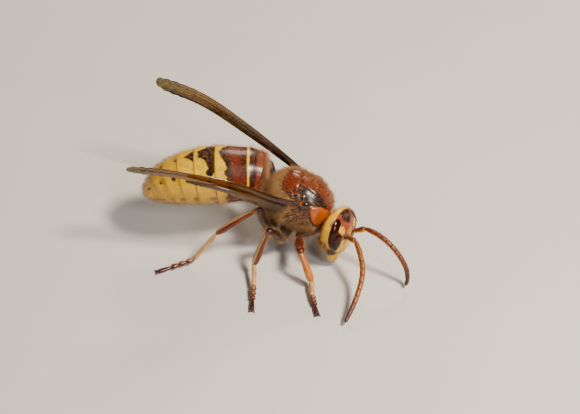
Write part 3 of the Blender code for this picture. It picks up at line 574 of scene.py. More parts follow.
def clypeus_depth(points):
    """How far inside the clypeus a head point lies, in mm: a shield, wider below, rounded at the corners."""
    x, y, z = np.moveaxis(points, -1, 0)
    wide = curve(z, (-2.3, -2.05, -1.6, -0.9, -0.4, -0.2), (0.5, 0.85, 0.98, 0.95, 0.72, 0.3))
    edge = np.minimum(wide - np.abs(y), np.minimum(z + 2.2, -0.2 - z) * 0.9)
    return np.where(x > 0.3, edge, -1.0)


def eye_gap(points, sign):
    """Distance from an eye's outline in mm, minus inside it, and 1 on the side that the eye is on."""
    origin, _, across, up = eye_axes(sign)
    flat = np.stack(((points - origin) @ across, (points - origin) @ up), -1)
    gap = distance_to(eye_outline(np.linspace(0, 2 * PI, 72, endpoint=False)), flat)
    return gap, step(points[..., 1] * sign, 0.3, 0.6) * step(points[..., 0], -0.9, -0.6)


def head_sculpt(points):
    """Heights over the plain head: the clypeus, its seam, antenna sockets, brow and the rims of the eyes."""
    x, y, z = np.moveaxis(points, -1, 0)
    side = np.abs(y)
    face = step(x, 0.2, 0.6)
    edge = clypeus_depth(points)
    lift = 0.07 * step(edge, 0.0, 0.28) - 0.06 * bump(edge, 0.05) * face
    lift -= 0.14 * bump(z + 1.15, 0.75) * face
    socket = np.hypot(side - 0.55, z - 0.1)
    lift += face * (0.09 * bump(socket - 0.36, 0.08) - 0.16 * bump(socket, 0.24))
    lift += 0.1 * bump(y, 0.32) * bump(z - 0.65, 0.5) * face
    lift -= 0.05 * bump(side - 0.78, 0.07) * step(z, 0.35, 0.6) * step(z, 1.5, 1.2) * face
    lift -= 0.05 * bump(y, 0.05) * step(z, 1.1, 1.3) * step(z, 1.7, 1.5) * face
    for a, b in OCELLI:
        lift -= 0.04 * bump(np.hypot(x - a, y - b) - 0.22, 0.05) * step(z, 1.2, 1.5)
    lift += 0.06 * step(z, 2.0, 2.2) * bump(side - 0.4, 0.5)
    for sign in (-1, 1):
        gap, facing = eye_gap(points, sign)
        lift += facing * (0.035 * bump(gap - 0.12, 0.06) - 0.3 * step(gap, 0.02, -0.06))
    return lift + 0.008 * noise(points, 1.2, 8)


def head_marks(points):
    """Yellow, dark and red on the amber head: temples, sinuses and lower face yellow, the crown dark."""
    x, y, z = np.moveaxis(points, -1, 0)
    side = np.abs(y)
    soft = 0.05 * noise(points, 1.1, 9)
    front = curve(z, (-2.3, -1.6, 0.0, 1.4, 2.0, 2.4), (0.8, 0.8, 0.5, 0.3, 0.12, 0.02))
    yellow = step(x + soft, front + 0.06, front - 0.06) * step(x + soft, -0.95, -0.6)
    from_sinus = np.hypot((side - 1.42) / 0.56, (z - 0.98) / 0.46)
    yellow += step(from_sinus + soft, 1.1, 0.95) * step(x, 0.4, 0.6)
    yellow += step(z + 0.5 * soft, -0.2, -0.34) * step(x, 0.5, 0.7)
    from_brow = np.hypot(y / 0.5, (z - 0.55) / 0.55)
    yellow += 0.4 * step(from_brow + soft, 1.1, 0.7) * step(x, 0.7, 0.9)
    edge = clypeus_depth(points)
    crown = step(np.hypot((x - 0.5) / 0.52, y / 0.98) + 2 * soft, 1.12, 0.9) * step(z, 1.3, 1.6)
    spots = sum(bump(np.hypot(x - a, y - b), 0.3) for a, b in OCELLI) * step(z, 1.2, 1.5)
    sockets = step(np.hypot((side - 0.75) / 1.25, (z - 0.1) / 0.62), 0.42, 0.28) * step(x, 0.8, 1.0)
    line = 0.6 * bump(side - 0.8, 0.08) * step(z, 0.3, 0.5) * step(z, 1.3, 1.1) * step(x, 0.6, 0.8)
    seam = 0.7 * bump(edge, 0.05) * step(x, 0.6, 0.8)
    mouth = step(z, -2.12, -2.2) + 0.7 * step(x, -0.95, -1.1)
    dark = np.clip(0.75 * crown + spots + sockets + line + seam + mouth, 0, 1)
    red = np.zeros_like(x)
    for sign in (-1, 1):
        gap, facing = eye_gap(points, sign)
        red += facing * step(gap, 0.34, 0.16) * step(z, 1.3, 1.5) * step(x + 0.4 * side, 0.75, 0.95)
        dark += facing * bump(gap, 0.045) * 0.8
    return np.stack((np.clip(yellow, 0, 1), np.clip(dark, 0, 1), np.clip(red, 0, 1)), -1)


def head_grid(rows=200, cols=240):
    """The sculpted head in place, and its marks: the plain head moved along its normals."""
    low, high = HEAD[0][0], HEAD[-1][0]
    share = np.linspace(0, 1, rows)
    z = low + (high - low) * (0.5 * share + 0.25 * (1 - np.cos(PI * share)))
    base = head_point(np.broadcast_to(z[:, None], (rows, cols)), ring_angles(cols))
    marks = head_marks(base)
    sculpted = base + grid_normals(base) * head_sculpt(base)[..., None]
    return placed(sculpted, HEAD_FRAME), marks


def eye_shape(sign, rows=44, cols=120):
    """One compound eye: its outline cast on the head along the eye's way out, domed, and closed behind."""
    origin, out, across, up = eye_axes(sign)
    outline = eye_outline(ring_angles(cols))
    share = np.sin(np.linspace(1, 0.02, rows) * PI / 2)[:, None, None]
    centre = np.array((-0.12, EYE_RISE))
    flat = centre + (outline - centre)[None] * share
    base = origin + flat[..., :1] * across + flat[..., 1:] * up
    skin = halved(np.full(base.shape[:2], -0.8), np.full(base.shape[:2], 2.5),
                  lambda reach: outside_head(base + reach[..., None] * out) > 1, 36)
    dome = 0.03 + 0.17 * (1 - share[..., 0] ** 2) ** 0.55
    front = base + (skin + dome)[..., None] * out
    behind = np.stack([base[0] + (skin[0] - depth)[:, None] * out for depth in (0.35, 0.05)])
    return closed_grid(placed(np.concatenate((behind, front)), HEAD_FRAME))


def tube(path, widths, heights, side_way, cols, power=2.0):
    """Ovals carried along a path, each square to it, as a grid."""
    path = np.asarray(path, float)
    ways = unit(np.gradient(path, axis=0))
    side = np.cross(ways, UP) if side_way is None else np.broadcast_to(side_way, ways.shape)
    side = unit(side - ways * (side * ways).sum(-1, keepdims=True))
    top = np.cross(side, ways)
    widths, heights = np.asarray(widths)[:, None], np.asarray(heights)[:, None]
    a, b = superellipse(widths, heights, heights, ring_angles(cols), power)
    return path[:, None] + side[:, None] * a[..., None] + top[:, None] * b[..., None]


def spline(points, count):
    """Evenly spaced points on the Catmull-Rom curve through a few points."""
    knots = np.asarray(points, float)
    padded = np.vstack((2 * knots[0] - knots[1], knots, 2 * knots[-1] - knots[-2]))
    t = np.linspace(0, len(knots) - 1 - 1e-9, 24 * len(knots))
    i = t.astype(int)
    f = (t - i)[:, None]
    p0, p1, p2, p3 = (padded[i + k] for k in range(4))
    fine = 0.5 * (2 * p1 + (p2 - p0) * f + (2 * p0 - 5 * p1 + 4 * p2 - p3) * f ** 2
                  + (3 * p1 - p0 - 3 * p2 + p3) * f ** 3)
    run = np.concatenate(([0], np.cumsum(np.linalg.norm(np.diff(fine, axis=0), axis=1))))
    stops = np.linspace(0, run[-1], count)
    return np.column_stack([np.interp(stops, run, fine[:, k]) for k in range(3)])


def article(start, end, radii, marks, flat=1.0, side_way=None, rows=18, bend=0.0, edge=0.0):
    """One length of a limb: a tube between two joints whose radius runs smoothly through a few values.

    A painted highlight, edge strong, runs along its upper side: a pale stripe where the light falls on top.
    """
    cols = 20
    start, end = np.asarray(start, float), np.asarray(end, float)
    share = np.linspace(0, 1, rows)
    rounded = 0.5 * (1 - np.cos(PI * share))
    path = start + (end - start) * rounded[:, None] + UP * (bend * np.sin(PI * rounded))[:, None]
    radius = curve(rounded, np.linspace(0, 1, len(radii)), radii)
    tip = np.sqrt(np.clip(1 - (np.abs(2 * rounded - 1)) ** 14, 0.02, 1))
    grid = tube(path, radius * tip, radius * tip * flat, side_way, cols)
    tint = np.broadcast_to(np.array(marks, float), (rows, cols, 3)).copy()
    # Painted highlight: the side that faces up gets the pale mark and loses the dark one.
    around = grid[..., 2] - path[:, None, 2]
    upper = step(around / np.maximum(np.abs(around).max(axis=1, keepdims=True), 1e-6), 0.78, 1.0)
    tint[..., 0] += edge * upper * step(rounded, 0.03, 0.2)[:, None]
    tint[..., 1] *= 1 - upper * min(edge, 1)
    return closed_grid(grid, np.clip(tint, 0, 1))


def spike(root, tip, radius, marks, bow=(0, 0, 0)):
    """A curved, tapering claw or spur: straight from root to tip, plus a bow that is fullest midway."""
    rows, cols = 7, 8
    share = np.linspace(0, 1, rows)[:, None]
    root, tip = np.asarray(root), np.asarray(tip)
    path = root + (tip - root) * share + np.asarray(bow) * 4 * share * (1 - share)
    size = radius * (1 - share[:, 0]) ** 0.7 + 0.012
    tint = np.broadcast_to(np.array(marks, float), (rows, cols, 3))
    return closed_grid(tube(path, size, size, None, cols), tint)


def rearward(yaw, droop):
    """The way towards the tail, yaw degrees to the right of straight back and droop degrees below level."""
    yaw, droop = np.radians(yaw), np.radians(droop)
    return np.stack((-np.cos(yaw) * np.cos(droop), -np.sin(yaw) * np.cos(droop), -np.sin(droop)), -1)


def gaster_front(start, side, up, sizes, angles):
    """The gaster's front wall and its marks: rings that widen from the waist to the first full ring.

    A ring's place runs from the waist to the start, and its radius grows, by FRONT_WALL. The last
    third blends into the full ring's half sizes.
    """
    stalk, foot = (placed(np.array(end, float), THORAX) for end in (WAIST_TO, WAIST_FROM))
    share = np.linspace(0, 1, 26)
    stops = np.linspace(0, 1, len(FRONT_WALL))
    back, rise, radius = (curve(share, stops, values) for values in np.transpose(FRONT_WALL))
    place = stalk + (start - stalk) * back[:, None]
    place[:, 2] = stalk[2] + (start[2] - stalk[2]) * rise
    blend = step(share, 0.7, 1.0)
    half, over, under = ((radius * (1 - blend) + (size - 0.04) * blend)[:, None] for size in sizes)
    a, b = superellipse(half, over, under, angles, GASTER_POWER)
    front = place[:, None] + side * a[..., None] + up * b[..., None]
    front = np.concatenate((foot + (front[:1] - stalk), front))[:-1]
    marks = np.zeros((*front.shape[:2], 3))
    marks[..., 0] = 1.0
    marks[..., 1] = 0.35 + 0.45 * step(share, 0.6, 1.0)[:, None]
    return front, marks


def gaster_frame(s):
    """Centre, side way, up way and the three half sizes at s mm behind the front ring."""
    table = np.array(GASTER)
    droops = np.concatenate(([-GASTER_LIFT], table[:, 4]))
    fine = np.linspace(0, GASTER_ENDS[-1], 600)
    yaw = curve(fine, (0, GASTER_ENDS[1], GASTER_ENDS[-1]), (GASTER_YAW[0], GASTER_YAW[1], GASTER_YAW[1]))
    droop = curve(fine, GASTER_ENDS, droops)
    way = rearward(yaw, droop)
    walk = np.vstack((np.zeros(3), np.cumsum((way[1:] + way[:-1]) / 2 * np.diff(fine)[:, None], axis=0)))
    centre = np.column_stack([np.interp(s, fine, (walk + GASTER_FRONT_AT)[:, k]) for k in range(3)])
    yaw, droop = np.interp(s, fine, yaw), np.interp(s, fine, droop)
    side = np.stack((np.sin(np.radians(yaw)), -np.cos(np.radians(yaw)), 0 * yaw), -1)
    up = np.cross(rearward(yaw, droop), side)
    up = up * np.sign(up[:, 2:])
    sizes = [curve(s, GASTER_ENDS, (GASTER_FRONT_SIZE[k], *table[:, k + 1])) for k in range(3)]
    return centre, side, up, sizes


def gaster_grid(rows=440, cols=200):
    """Tergites and sternites as one skin: each segment swells to its rear rim, then drops to the next.

    A rim lies a little further back on the back than at the flanks. Marks follow the share of each
    segment's length and the angle round the body.
    """
    s = np.linspace(0.02, GASTER_ENDS[-1] - 0.03, rows)
    centre, side, up, (half, over, under) = gaster_frame(s)
    angles = ring_angles(cols)
    rims = [at + tilt * np.sin(angles) for at, tilt in zip(SEAMS, SEAM_TILTS)]
    rims = np.array([0 * angles, *rims, 0 * angles + GASTER_ENDS[-1]])
    segment = sum((s[:, None] > rim).astype(int) for rim in rims[1:-1])
    column = np.arange(cols)[None]
    start, end = rims[segment, column], rims[segment + 1, column]
    t = (s[:, None] - start) / (end - start)
    tail = np.sqrt(np.clip(1 - np.clip((s - GASTER_ENDS[6] - 0.5) / 0.82, 0, 1) ** 2.2, 0.0, 1))[:, None]
    lip = np.where(segment < 6, 0.08 * step(t, 0.2, 0.97) - 0.045, -0.02)
    sizes = [size[:, None] * tail + lip for size in (half, over, under)]
    a, b = superellipse(*sizes, angles, GASTER_POWER)
    grid = centre[:, None] + side[:, None] * a[..., None] + up[:, None] * b[..., None]
    turn = np.degrees(angles)[None]
    seam = np.minimum(np.abs(turn - 333), np.abs(turn - 207)) * (half[:, None] * PI / 180)
    grid = grid - grid_normals(grid) * (0.06 * bump(seam, 0.07))[..., None]
    marks = gaster_marks(segment, t, turn, grid)
    first = (half[0], over[0], under[0])
    front, front_marks = gaster_front(centre[0], side[:1, None], up[:1, None], first, angles)
    return np.concatenate((front, grid)), np.concatenate((front_marks, marks))


def gaster_marks(segment, t, turn, grid):
    """Brown, red and black marks on the yellow gaster, by segment, share of its length and angle.

    The angle is 90 degrees on the back, 0 on the right flank, 180 on the left and 270 below. A spot is
    an oval about a share and an angle; an edge is a share of the length that varies with the angle.
    """
    from_back = np.abs(turn - 90)
    from_back = np.minimum(from_back, 360 - from_back) + 0 * t
    wobble = 0.028 * noise(grid, 0.55, 12) + 0.02 * noise(grid, 1.6, 13)

    def spot(share, per_length, angle, per_degree, rough, outer, inner):
        away = np.hypot((t - share) * per_length, (from_back - angle) * per_degree)
        return step(away + rough * wobble, outer, inner)

    def edge(angles, shares):
        return curve(from_back, angles, shares) + wobble

    def ahead_of(place, soft):
        return step(t, place + soft, place - soft)

    on_back = step(from_back, 119, 114)
    first = (segment == 0) * step(t + wobble * 0.4, 0.86, 0.82)
    edge_2 = edge((0, 7, 17, 26, 37, 60, 90, 115), (0.87, 0.82, 0.73, 0.65, 0.6, 0.6, 0.66, 0.6))
    second = (segment == 1) * ahead_of(edge_2, 0.015)
    spot_2 = (segment == 1) * spot(0.6, 9, 47, 0.11, 4, 1.1, 0.8)
    edge_3 = edge((0, 8, 12, 18, 30, 44, 50), (0.8, 0.8, 0.66, 0.46, 0.36, 0.14, -0.1))
    third = (segment == 2) * ahead_of(edge_3, 0.02)
    spot_3 = (segment == 2) * spot(0.25, 5.2, 45, 0.115, 3, 1.1, 0.85)
    fourth = (segment == 3) * ahead_of(edge((0, 3, 14, 20), (0.62, 0.5, 0.1, -0.1)), 0.03)
    later = (segment > 3) * step(t + from_back / 26 + wobble, 0.3, 0.2)
    dots = (segment > 3) * spot(0.36, 5, 47, 0.12, 3, 0.85, 0.6)
    bottom = step(from_back, 118, 124)
    belly = step(from_back, 96, 104)
    under = belly * (segment < 2) * step(t + 2 * wobble, 0.72, 0.62) * 0.9
    under += bottom * (segment == 2) * step(t + wobble, 0.3, 0.15) * 0.8
    blot = belly * (segment > 1) * spot(0.22, 4, 104, 0.1, 3, 1.0, 0.6) * 0.7
    line = 0.55 * step(t, 0.035, 0.0) * (segment > 0) + 0.5 * step(t, 0.955, 0.985) * (segment > 0)
    dark = np.clip(first + second + third + fourth + later, 0, 1)
    brown = np.clip(dark * on_back + line + under + blot, 0, 1)
    red_1 = (segment == 0) * step(t + wobble, 0.46, 0.34)
    red_2 = (segment == 1) * step(t, 0.1, 0.22) * step(t, 0.6, 0.42) * 0.75
    red_2 = np.maximum(red_2, (segment == 1) * step(from_back, 46, 62) * 0.8)
    # The 0.12 term is painted shade: a little red-brown on the lower flanks and the underside.
    red = np.clip((red_1 + red_2) * brown + 0.3 * line + 0.12 * step(from_back, 45, 95), 0, 1)
    black = np.maximum.reduce([spot_2, spot_3, dots]) * on_back
    black += 0.65 * third * on_back
    black += 0.5 * second * step(t, edge_2 - 0.2, edge_2 - 0.05) * on_back
    black += 0.4 * under
    return np.stack((brown, red, np.clip(black, 0, 1)), -1)


def wing_shape(path, half_widths, leans, sign, cols=56):
    """A wing folded lengthwise along a path: a thin sheet with pleats, its veins raised on both faces.

    Its width stands upright, leant to the left by degrees that change along it, or to the right where
    they are negative. Across, the sheet bows by a parabola with shallow pleats; marks hold the veins,
    the patch by the front edge, which is the lower one, and the tip.
    """
    path = np.asarray(path)
    rows = len(path)
    t = np.linspace(0, 1, rows)[:, None]
    half = curve(t[:, 0], *zip(*half_widths))[:, None]
    q = np.cos(np.linspace(0, PI, cols // 2))[None] * np.ones((rows, 1))
    ways = unit(np.gradient(path, axis=0))
    lean = np.radians(curve(t[:, 0], (0, 0.3, 0.7, 1.0), (leans[0], leans[0], leans[1], leans[1])))
    wide_way = np.stack((0 * lean, np.sin(lean), np.cos(lean)), -1)
    wide = unit(wide_way - ways * (ways * wide_way).sum(-1, keepdims=True))
    face = np.cross(ways, wide) * sign
    veins = sum(bump(q - (at + drift * t), width) * strength for at, drift, width, strength in LONG_VEINS)
    for cross_at, low, high in CROSS_VEINS:
        span = step(q, low, low + 0.04) * step(q, high, high - 0.04)
        veins += 0.8 * bump(t - cross_at + 0.02 * q, 0.004) * span
    veins = np.clip(veins * step(t, 0.985, 0.9), 0, 1.3)
    stigma = bump(q + 0.86, 0.09) * step(t, 0.6, 0.62) * step(t, 0.7, 0.68)
    smoky = 0.95 * step(t, 0.45, 0.08)
    bow = 0.16 * (1 - q ** 2) + 0.05 * np.sin(2.5 * PI * q) * step(t, 0.02, 0.2)
    ripple = 0.045 * np.sin(130 * t + 5 * q + 2 * np.sin(9 * q)) * step(t, 0.72, 0.95) * step(t, 1.0, 0.98)
    thick = 0.02 + 0.045 * veins + 0.03 * stigma
    middle = path[:, None] + wide[:, None] * (q * half)[..., None]
    upper = middle + face[:, None] * (bow + ripple + thick)[..., None]
    lower = middle + face[:, None] * (bow + ripple - thick)[..., None]
    grid = np.concatenate((upper, lower[:, ::-1]), axis=1)
    tip = step(t, 0.75, 1.0) * np.ones_like(q)
    one = np.stack((np.clip(veins, 0, 1), np.clip(stigma + smoky, 0, 1), tip), -1)
    return closed_grid(grid, np.concatenate((one, one[:, ::-1]), axis=1))


def wing_finish():
    """Wing membrane: dry, clear amber chitin a few hundredths of a millimetre thick, with dark veins.

    The eye sees brown gold that darkens where layers lie over each other, and a hard, wrinkled gloss.
    """
    finish, tree, shader = new_finish("wing membrane")
    place = node(tree, "ShaderNodeTexCoord").outputs["Object"]
    colour = painted(tree, "#a87420", ((2, "#7e6c2c"), (1, "#5e200a"), (0, "#260c05")))
    colour = mottled(tree, place, colour, 0.5, 0.12)
    tree.links.new(colour, shader.inputs["Base Color"])
    wrinkle = textured(tree, "ShaderNodeTexNoise", place, 0.25, {"Detail": 3.0})
    embossed(tree, shader, wrinkle.outputs["Fac"], 0.5, 0.01)
    shader.inputs["Roughness"].default_value = 0.12
    shader.inputs["IOR"].default_value = CHITIN_IOR
    shader.inputs["Transmission Weight"].default_value = 0.75
    return finish


def eye_finish():
    """Compound eye: thousands of clear lenses over dark pigment.

    The eye sees a deep brown ball with a hard, polished gloss and a fine hexagon grain, drawn at
    0.06 mm, about twice the real pitch, so that it shows.
    """
    finish, tree, shader = new_finish("compound eye")
    place = node(tree, "ShaderNodeTexCoord").outputs["Object"]
    colour = mottled(tree, place, linear("#2e0e05"), 1.2, 0.35)
    tree.links.new(colour, shader.inputs["Base Color"])
    lenses = textured(tree, "ShaderNodeTexVoronoi", place, 0.06, {"Randomness": 0.15})
    embossed(tree, shader, lenses.outputs["Distance"], 0.25, 0.004, invert=True)
    shader.inputs["Roughness"].default_value = 0.1
    shader.inputs["Specular IOR Level"].default_value = 0.22
    return finish


def hair_finish():
    """Setae: hollow, tapering chitin hairs, straw to rust, that let light through at their edges."""
    finish, tree, shader = new_finish("golden setae")
    colour = painted(tree, "#e8940c", ((0, "#983c06"), (1, "#ecca84"), (2, "#3c1808")))
    tree.links.new(colour, shader.inputs["Base Color"])
    shader.inputs["Roughness"].default_value = 0.4
    shader.inputs["Transmission Weight"].default_value = 0.15
    shader.inputs["Sheen Weight"].default_value = 0.3
    return finish


def scattered(grid, count, density, seed):
    """Roots spread over a closed grid: cells drawn by area times density, then a place in each cell."""
    rng = np.random.default_rng(seed)
    normals = grid_normals(grid)
    right = np.roll(grid, -1, axis=1)
    area = np.linalg.norm(np.cross(grid[1:] - grid[:-1], right[:-1] - grid[:-1]), axis=-1)
    weight = (area * density[:-1]).ravel()
    cell = rng.choice(weight.size, size=count, p=weight / weight.sum())
    i, j = np.divmod(cell, grid.shape[1])
    a, b = rng.uniform(0, 1, (2, count, 1))
    k = (j + 1) % grid.shape[1]

    def blend(field):
        return ((1 - a) * ((1 - b) * field[i, j] + b * field[i, k])
                + a * ((1 - b) * field[i + 1, j] + b * field[i + 1, k]))

    unwrap = np.column_stack(((j + b[:, 0]) / grid.shape[1], (i + a[:, 0]) / grid.shape[0]))
    along = unit(grid[i + 1, j] - grid[i, j])
    return blend(grid), unit(blend(normals)), along, unwrap, (i, j), rng


def hairs(roots, ways, bends, lengths, radius, marks, unwrap, rng):
    """Tapered, curved three-sided hairs as one closed mesh each: three rings and a tip.

    A hair's middle runs root + (way * s + bend * s squared) * length, for s from just under the skin
    to 1. Its ring corners are numbered 0 to 2, 3 to 5 and 6 to 8 from the root, and its tip is 9.
    """
    count = len(roots)
    s = np.array((-0.08, 0.3, 0.65, 1.0))
    middle = roots[:, None] + ways[:, None] * (s[None, :, None] * lengths[:, None, None])
    middle = middle + bends[:, None] * (np.clip(s, 0, 1)[None, :, None] ** 2 * lengths[:, None, None])
    side = unit(np.cross(ways, rng.normal(size=(count, 3))))
    other = np.cross(ways, side)
    angles = np.array((0, 2, 4)) * PI / 3
    ring = side[:, None] * np.cos(angles)[None, :, None] + other[:, None] * np.sin(angles)[None, :, None]
    sizes = radius * np.array((1.0, 0.8, 0.5))
    rings = middle[:, :3, None] + ring[:, None] * sizes[None, :, None, None]
    points = np.concatenate((rings.reshape(count, 9, 3), middle[:, 3:]), axis=1)
    ahead = np.einsum("ij,ij->i", np.cross(ring[:, 0], ring[:, 1]), ways) < 0
    points[ahead] = points[ahead][:, [0, 2, 1, 3, 5, 4, 6, 8, 7, 9]]
    sides = [(a, a + 3, (a + 1) % 3 + (a // 3) * 3 + 3, (a + 1) % 3 + (a // 3) * 3) for a in range(6)]
    faces = [(2, 1, 0)] + [face[::-1] for face in sides] + [(6, 7, 9), (7, 8, 9), (8, 6, 9)]
    halves = [face[:3] for face in faces] + [(face[0], face[2], face[3]) for face in faces if len(face) == 4]
    starts = np.arange(count) * 10
    triangles = (starts[:, None, None] + np.array(halves)[None]).reshape(-1, 3)
    patch = np.zeros((10, 2))
    patch[:, 0] = np.array((0, 1, 2, 0, 1, 2, 0, 1, 2, 1)) / 2
    patch[:, 1] = np.repeat((0, 0.3, 0.65, 1.0), (3, 3, 3, 1))
    uv = (unwrap[:, None] * 0.994 + patch[None] * 0.003).reshape(-1, 2)
    return points.reshape(-1, 3), triangles, np.repeat(marks, 10, axis=0), uv


def coat(name, shape, slot):
    """Hairs as a piece, each unwrapped on a small patch that lies where its root does on the skin's grid."""
    points, triangles, marks, uv = shape
    made = piece(name, (points, triangles.tolist(), marks), setae, slot)
    layer = made.data.uv_layers.new(name="OFBake")
    layer.data.foreach_set("uv", uv[triangles.ravel()].astype(np.float32).ravel())


def fur(grid, count, density, length, lean, radius, tint, seed, spread=0.35, against=1.0):
    """Hairs on a grid that rise from its normals and lean along its rows, or against them.

    Neighbours share part of their lean, length and tint, by noise with TUFTS_PER_MM waves a millimetre:
    they hold together in tufts.
    """
    roots, normals, along, unwrap, cells, rng = scattered(grid, count, density, seed)
    tuft = np.stack([noise(roots, TUFTS_PER_MM, seed + k) for k in range(3)], -1)
    tuft = (tuft - tuft.mean(axis=0)) / (tuft.std(axis=0) + 1e-9)
    lie = along * against + rng.normal(size=roots.shape) * spread * 0.6 + tuft * spread * 1.1
    lie = unit(lie - normals * (lie * normals).sum(-1, keepdims=True))
    upright = 1 - lean
    ways = unit(normals * upright + lie * lean + rng.normal(size=roots.shape) * spread * 0.4)
    lengths = (length[cells] if isinstance(length, np.ndarray) else length) * rng.uniform(0.55, 1.2, count)
    lengths = lengths * (1 + 0.12 * np.clip(tuft[:, 0], -2, 2))
    bends = (lie - normals * 0.3) * HAIR_CURL
    tint = tint if np.ndim(tint) == 1 else tint[cells]
    marks = np.clip(tint + rng.normal(size=(count, 3)) * 0.18 + tuft * 0.26, 0, 1)
    return hairs(roots, ways, bends, lengths, radius, marks, unwrap, rng)


rust_cuticle = cuticle("brown chitin of the thorax", "#38140a", ("#6e2408", "#20110d", "#a84e06"), 0.25, 0.06)
head_cuticle = cuticle("amber chitin of the head", "#963e02", ("#efb400", "#280c06", "#7e220a"), 0.3, 0.05)
# The gaster's red-brown mark also carries painted shade on its lower flanks and underside.
gaster_cuticle = cuticle("banded chitin of the gaster", "#f2be00",
                         ("#361208", "#70270c", "#180905"), 0.25, 0.06)
# The leg's dark mark is partly painted shade on the coxae and femora.
# The leg's pale mark also draws the painted highlight along the upper sides.
leg_cuticle = cuticle("leg chitin", "#6c260f", ("#e6b878", "#2b0c06", "#cc7408"), 0.3)
antenna_cuticle = cuticle("antenna chitin", "#a2520a", ("#4a1a08", "#e49a14", "#341216"), 0.4)
jaw_cuticle = cuticle("mandible chitin", "#c89600", ("#1c0b06", "#7a3014", "#c87820"), 0.3)
plate_cuticle = cuticle("wing-base scale", "#2c0d06", ("#1b0c08", "#8a3318", "#b85808"), 0.14, 0.5)
membrane, lens, setae = wing_finish(), eye_finish(), hair_finish()


def make_thorax():
    """The thorax's skin, in place of its seven solids, and its hair in two pieces."""
    grid, marks = thorax_grid()
    piece("thorax_skin", closed_grid(grid, marks), rust_cuticle, "rust",
          ("pronotum", "mesoscutum", "scutellum", "metanotum", "propodeum",
           "mesopleura_front", "mesopleura_rear"))
    plain = thorax_base(120, 140)
    x, y, z = np.moveaxis(plain, -1, 0)
    skin = placed(plain, THORAX)
    above = step(z, 0.9, 1.6)
    _, scutellum, _, collar, rim = thorax_plates(plain)
    plate = step(rim, 0.1, -0.1) * step(collar, -0.1, 0.1) * step(z, -1.2, -0.95)
    rear = step(scutellum, 0.1, -0.3)
    density = 0.42 + 0.36 * step(z, 1.0, 0.2)
    density += 1.2 * step(x, 2.3, 2.9) * above
    density += 1.25 * rear * step(z, -0.5, 0.5)
    density *= 1 - 0.45 * bump(np.abs(y) - 1.6, 0.5) * above * step(x, -0.9, -0.4)
    density *= 1 - 0.9 * plate
    density *= 1 - 0.72 * bump(x + 0.1, 1.7) * bump(z + 0.3, 1.0)
    length = 0.36 + 0.22 * step(z, 0.8, -0.5) + 0.22 * step(z, -0.6, -1.6)
    length += 0.5 * rear
    length += 0.16 * step(x, 2.3, 2.9)
    warm = np.stack((0.25 - 0.1 * above - 0.15 * rear, 0.3 * step(z, 0.5, -1.0) + 0.35 * rear,
                     0.08 + 0.28 * step(z, 0.8, 0.0) * (1 - rear)), -1)
    for part, seed in (("a", 21), ("b", 31)):
        hair = fur(skin, THORAX_HAIRS, density, length, 0.3, THORAX_HAIR_RADIUS, warm, seed)
        coat("thorax_hair_" + part, hair, "rust")


def make_head():
    """The head's skin, its eyes and jaws, the ocelli, and its hair."""
    grid, marks = head_grid()
    piece("head_skin", closed_grid(grid, marks), head_cuticle, "amber", ("head", "clypeus"))
    rows = 40
    for side, sign in SIDES:
        piece("eye_lens_" + side, eye_shape(sign), lens, "eye", ("eye_" + side,))
        path = spline(JAWS[side], rows)
        share = np.linspace(0, 1, rows)
        wide = curve(share, (0, 0.5, 1), (0.6, 0.62, 0.15))
        jaw = tube(path, wide, 0.45 * wide + 0.06, (1.0, -sign, 0.0), 36, JAW_POWER)
        tint = np.zeros((*jaw.shape[:2], 3))
        tint[..., 0] = step(share, 0.8, 0.92)[:, None] + 0.95 * step(share, 0.34, 0.26)[:, None]
        piece("jaw_" + side, closed_grid(placed(jaw, HEAD_FRAME), np.clip(tint, 0, 1)), jaw_cuticle, "yellow",
              ("mandible_" + side,))
    make_ocelli()
    make_head_hair()


def make_head_hair():
    """Pale hair: long and close on the lower cheeks, thin on the crown and the face, none on the eyes."""
    rows, cols = 100, 120
    low, high = HEAD[0][0], HEAD[-1][0]
    z = np.linspace(low, high, rows)[:, None] * np.ones((1, cols))
    plain = head_point(z, ring_angles(cols))
    x, y = plain[..., 0], plain[..., 1]
    bare = np.zeros_like(x)
    for sign in (-1, 1):
        gap, facing = eye_gap(plain, sign)
        bare += step(gap, 0.12, 0.02) * facing
    cheek = step(z, -0.4, -1.2) * step(x, 0.4, 0.1)
    density = (0.3 + 2.4 * cheek) * (1 - np.clip(bare, 0, 1))
    density *= 1 - 0.85 * step(np.hypot((x - 0.5) / 0.7, y / 1.1), 1.1, 0.8) * step(z, 1.2, 1.6)
    density *= 1 - 0.6 * step(x, 0.5, 0.8) * step(z, 0.6, 0.2)
    length = 0.17 + 0.42 * cheek + 0.08 * step(z, 1.5, 2.0)
    pale = np.stack((0.2 + 0 * x, 0.05 + 0.5 * cheek, 0.05 + 0 * x), -1)
    skin = placed(plain, HEAD_FRAME)
    hair = fur(skin, HEAD_HAIRS, density, length, 0.3, HEAD_HAIR_RADIUS, pale, 22, against=-1.0)
    coat("head_hair", hair, "amber")


def make_ocelli():
    """Three small glossy domes on the crown, set in a triangle."""
    parts = []
    share = np.linspace(0.02, 1, 12)[:, None]
    angles = ring_angles(24)[None]
    radius = 0.17 * np.sin(share * PI / 2)
    height = 0.14 * np.cos(share * PI / 2)
    for a, b in OCELLI:
        x, y = a + radius * np.cos(angles), b + radius * np.sin(angles)
        rise = crown_height(x, y)
        parts.append(closed_grid(placed(np.stack((x, y, rise - 0.01 + height), -1), HEAD_FRAME)))
    piece("ocelli", joined(parts), lens, "eye")


def crown_height(x, y):
    """Height of the plain head's top over a place."""
    return halved(np.full(x.shape, 1.0), np.full(x.shape, 2.6),
                  lambda z: outside_head(np.stack((x, y, z), -1)) > 1, 30)


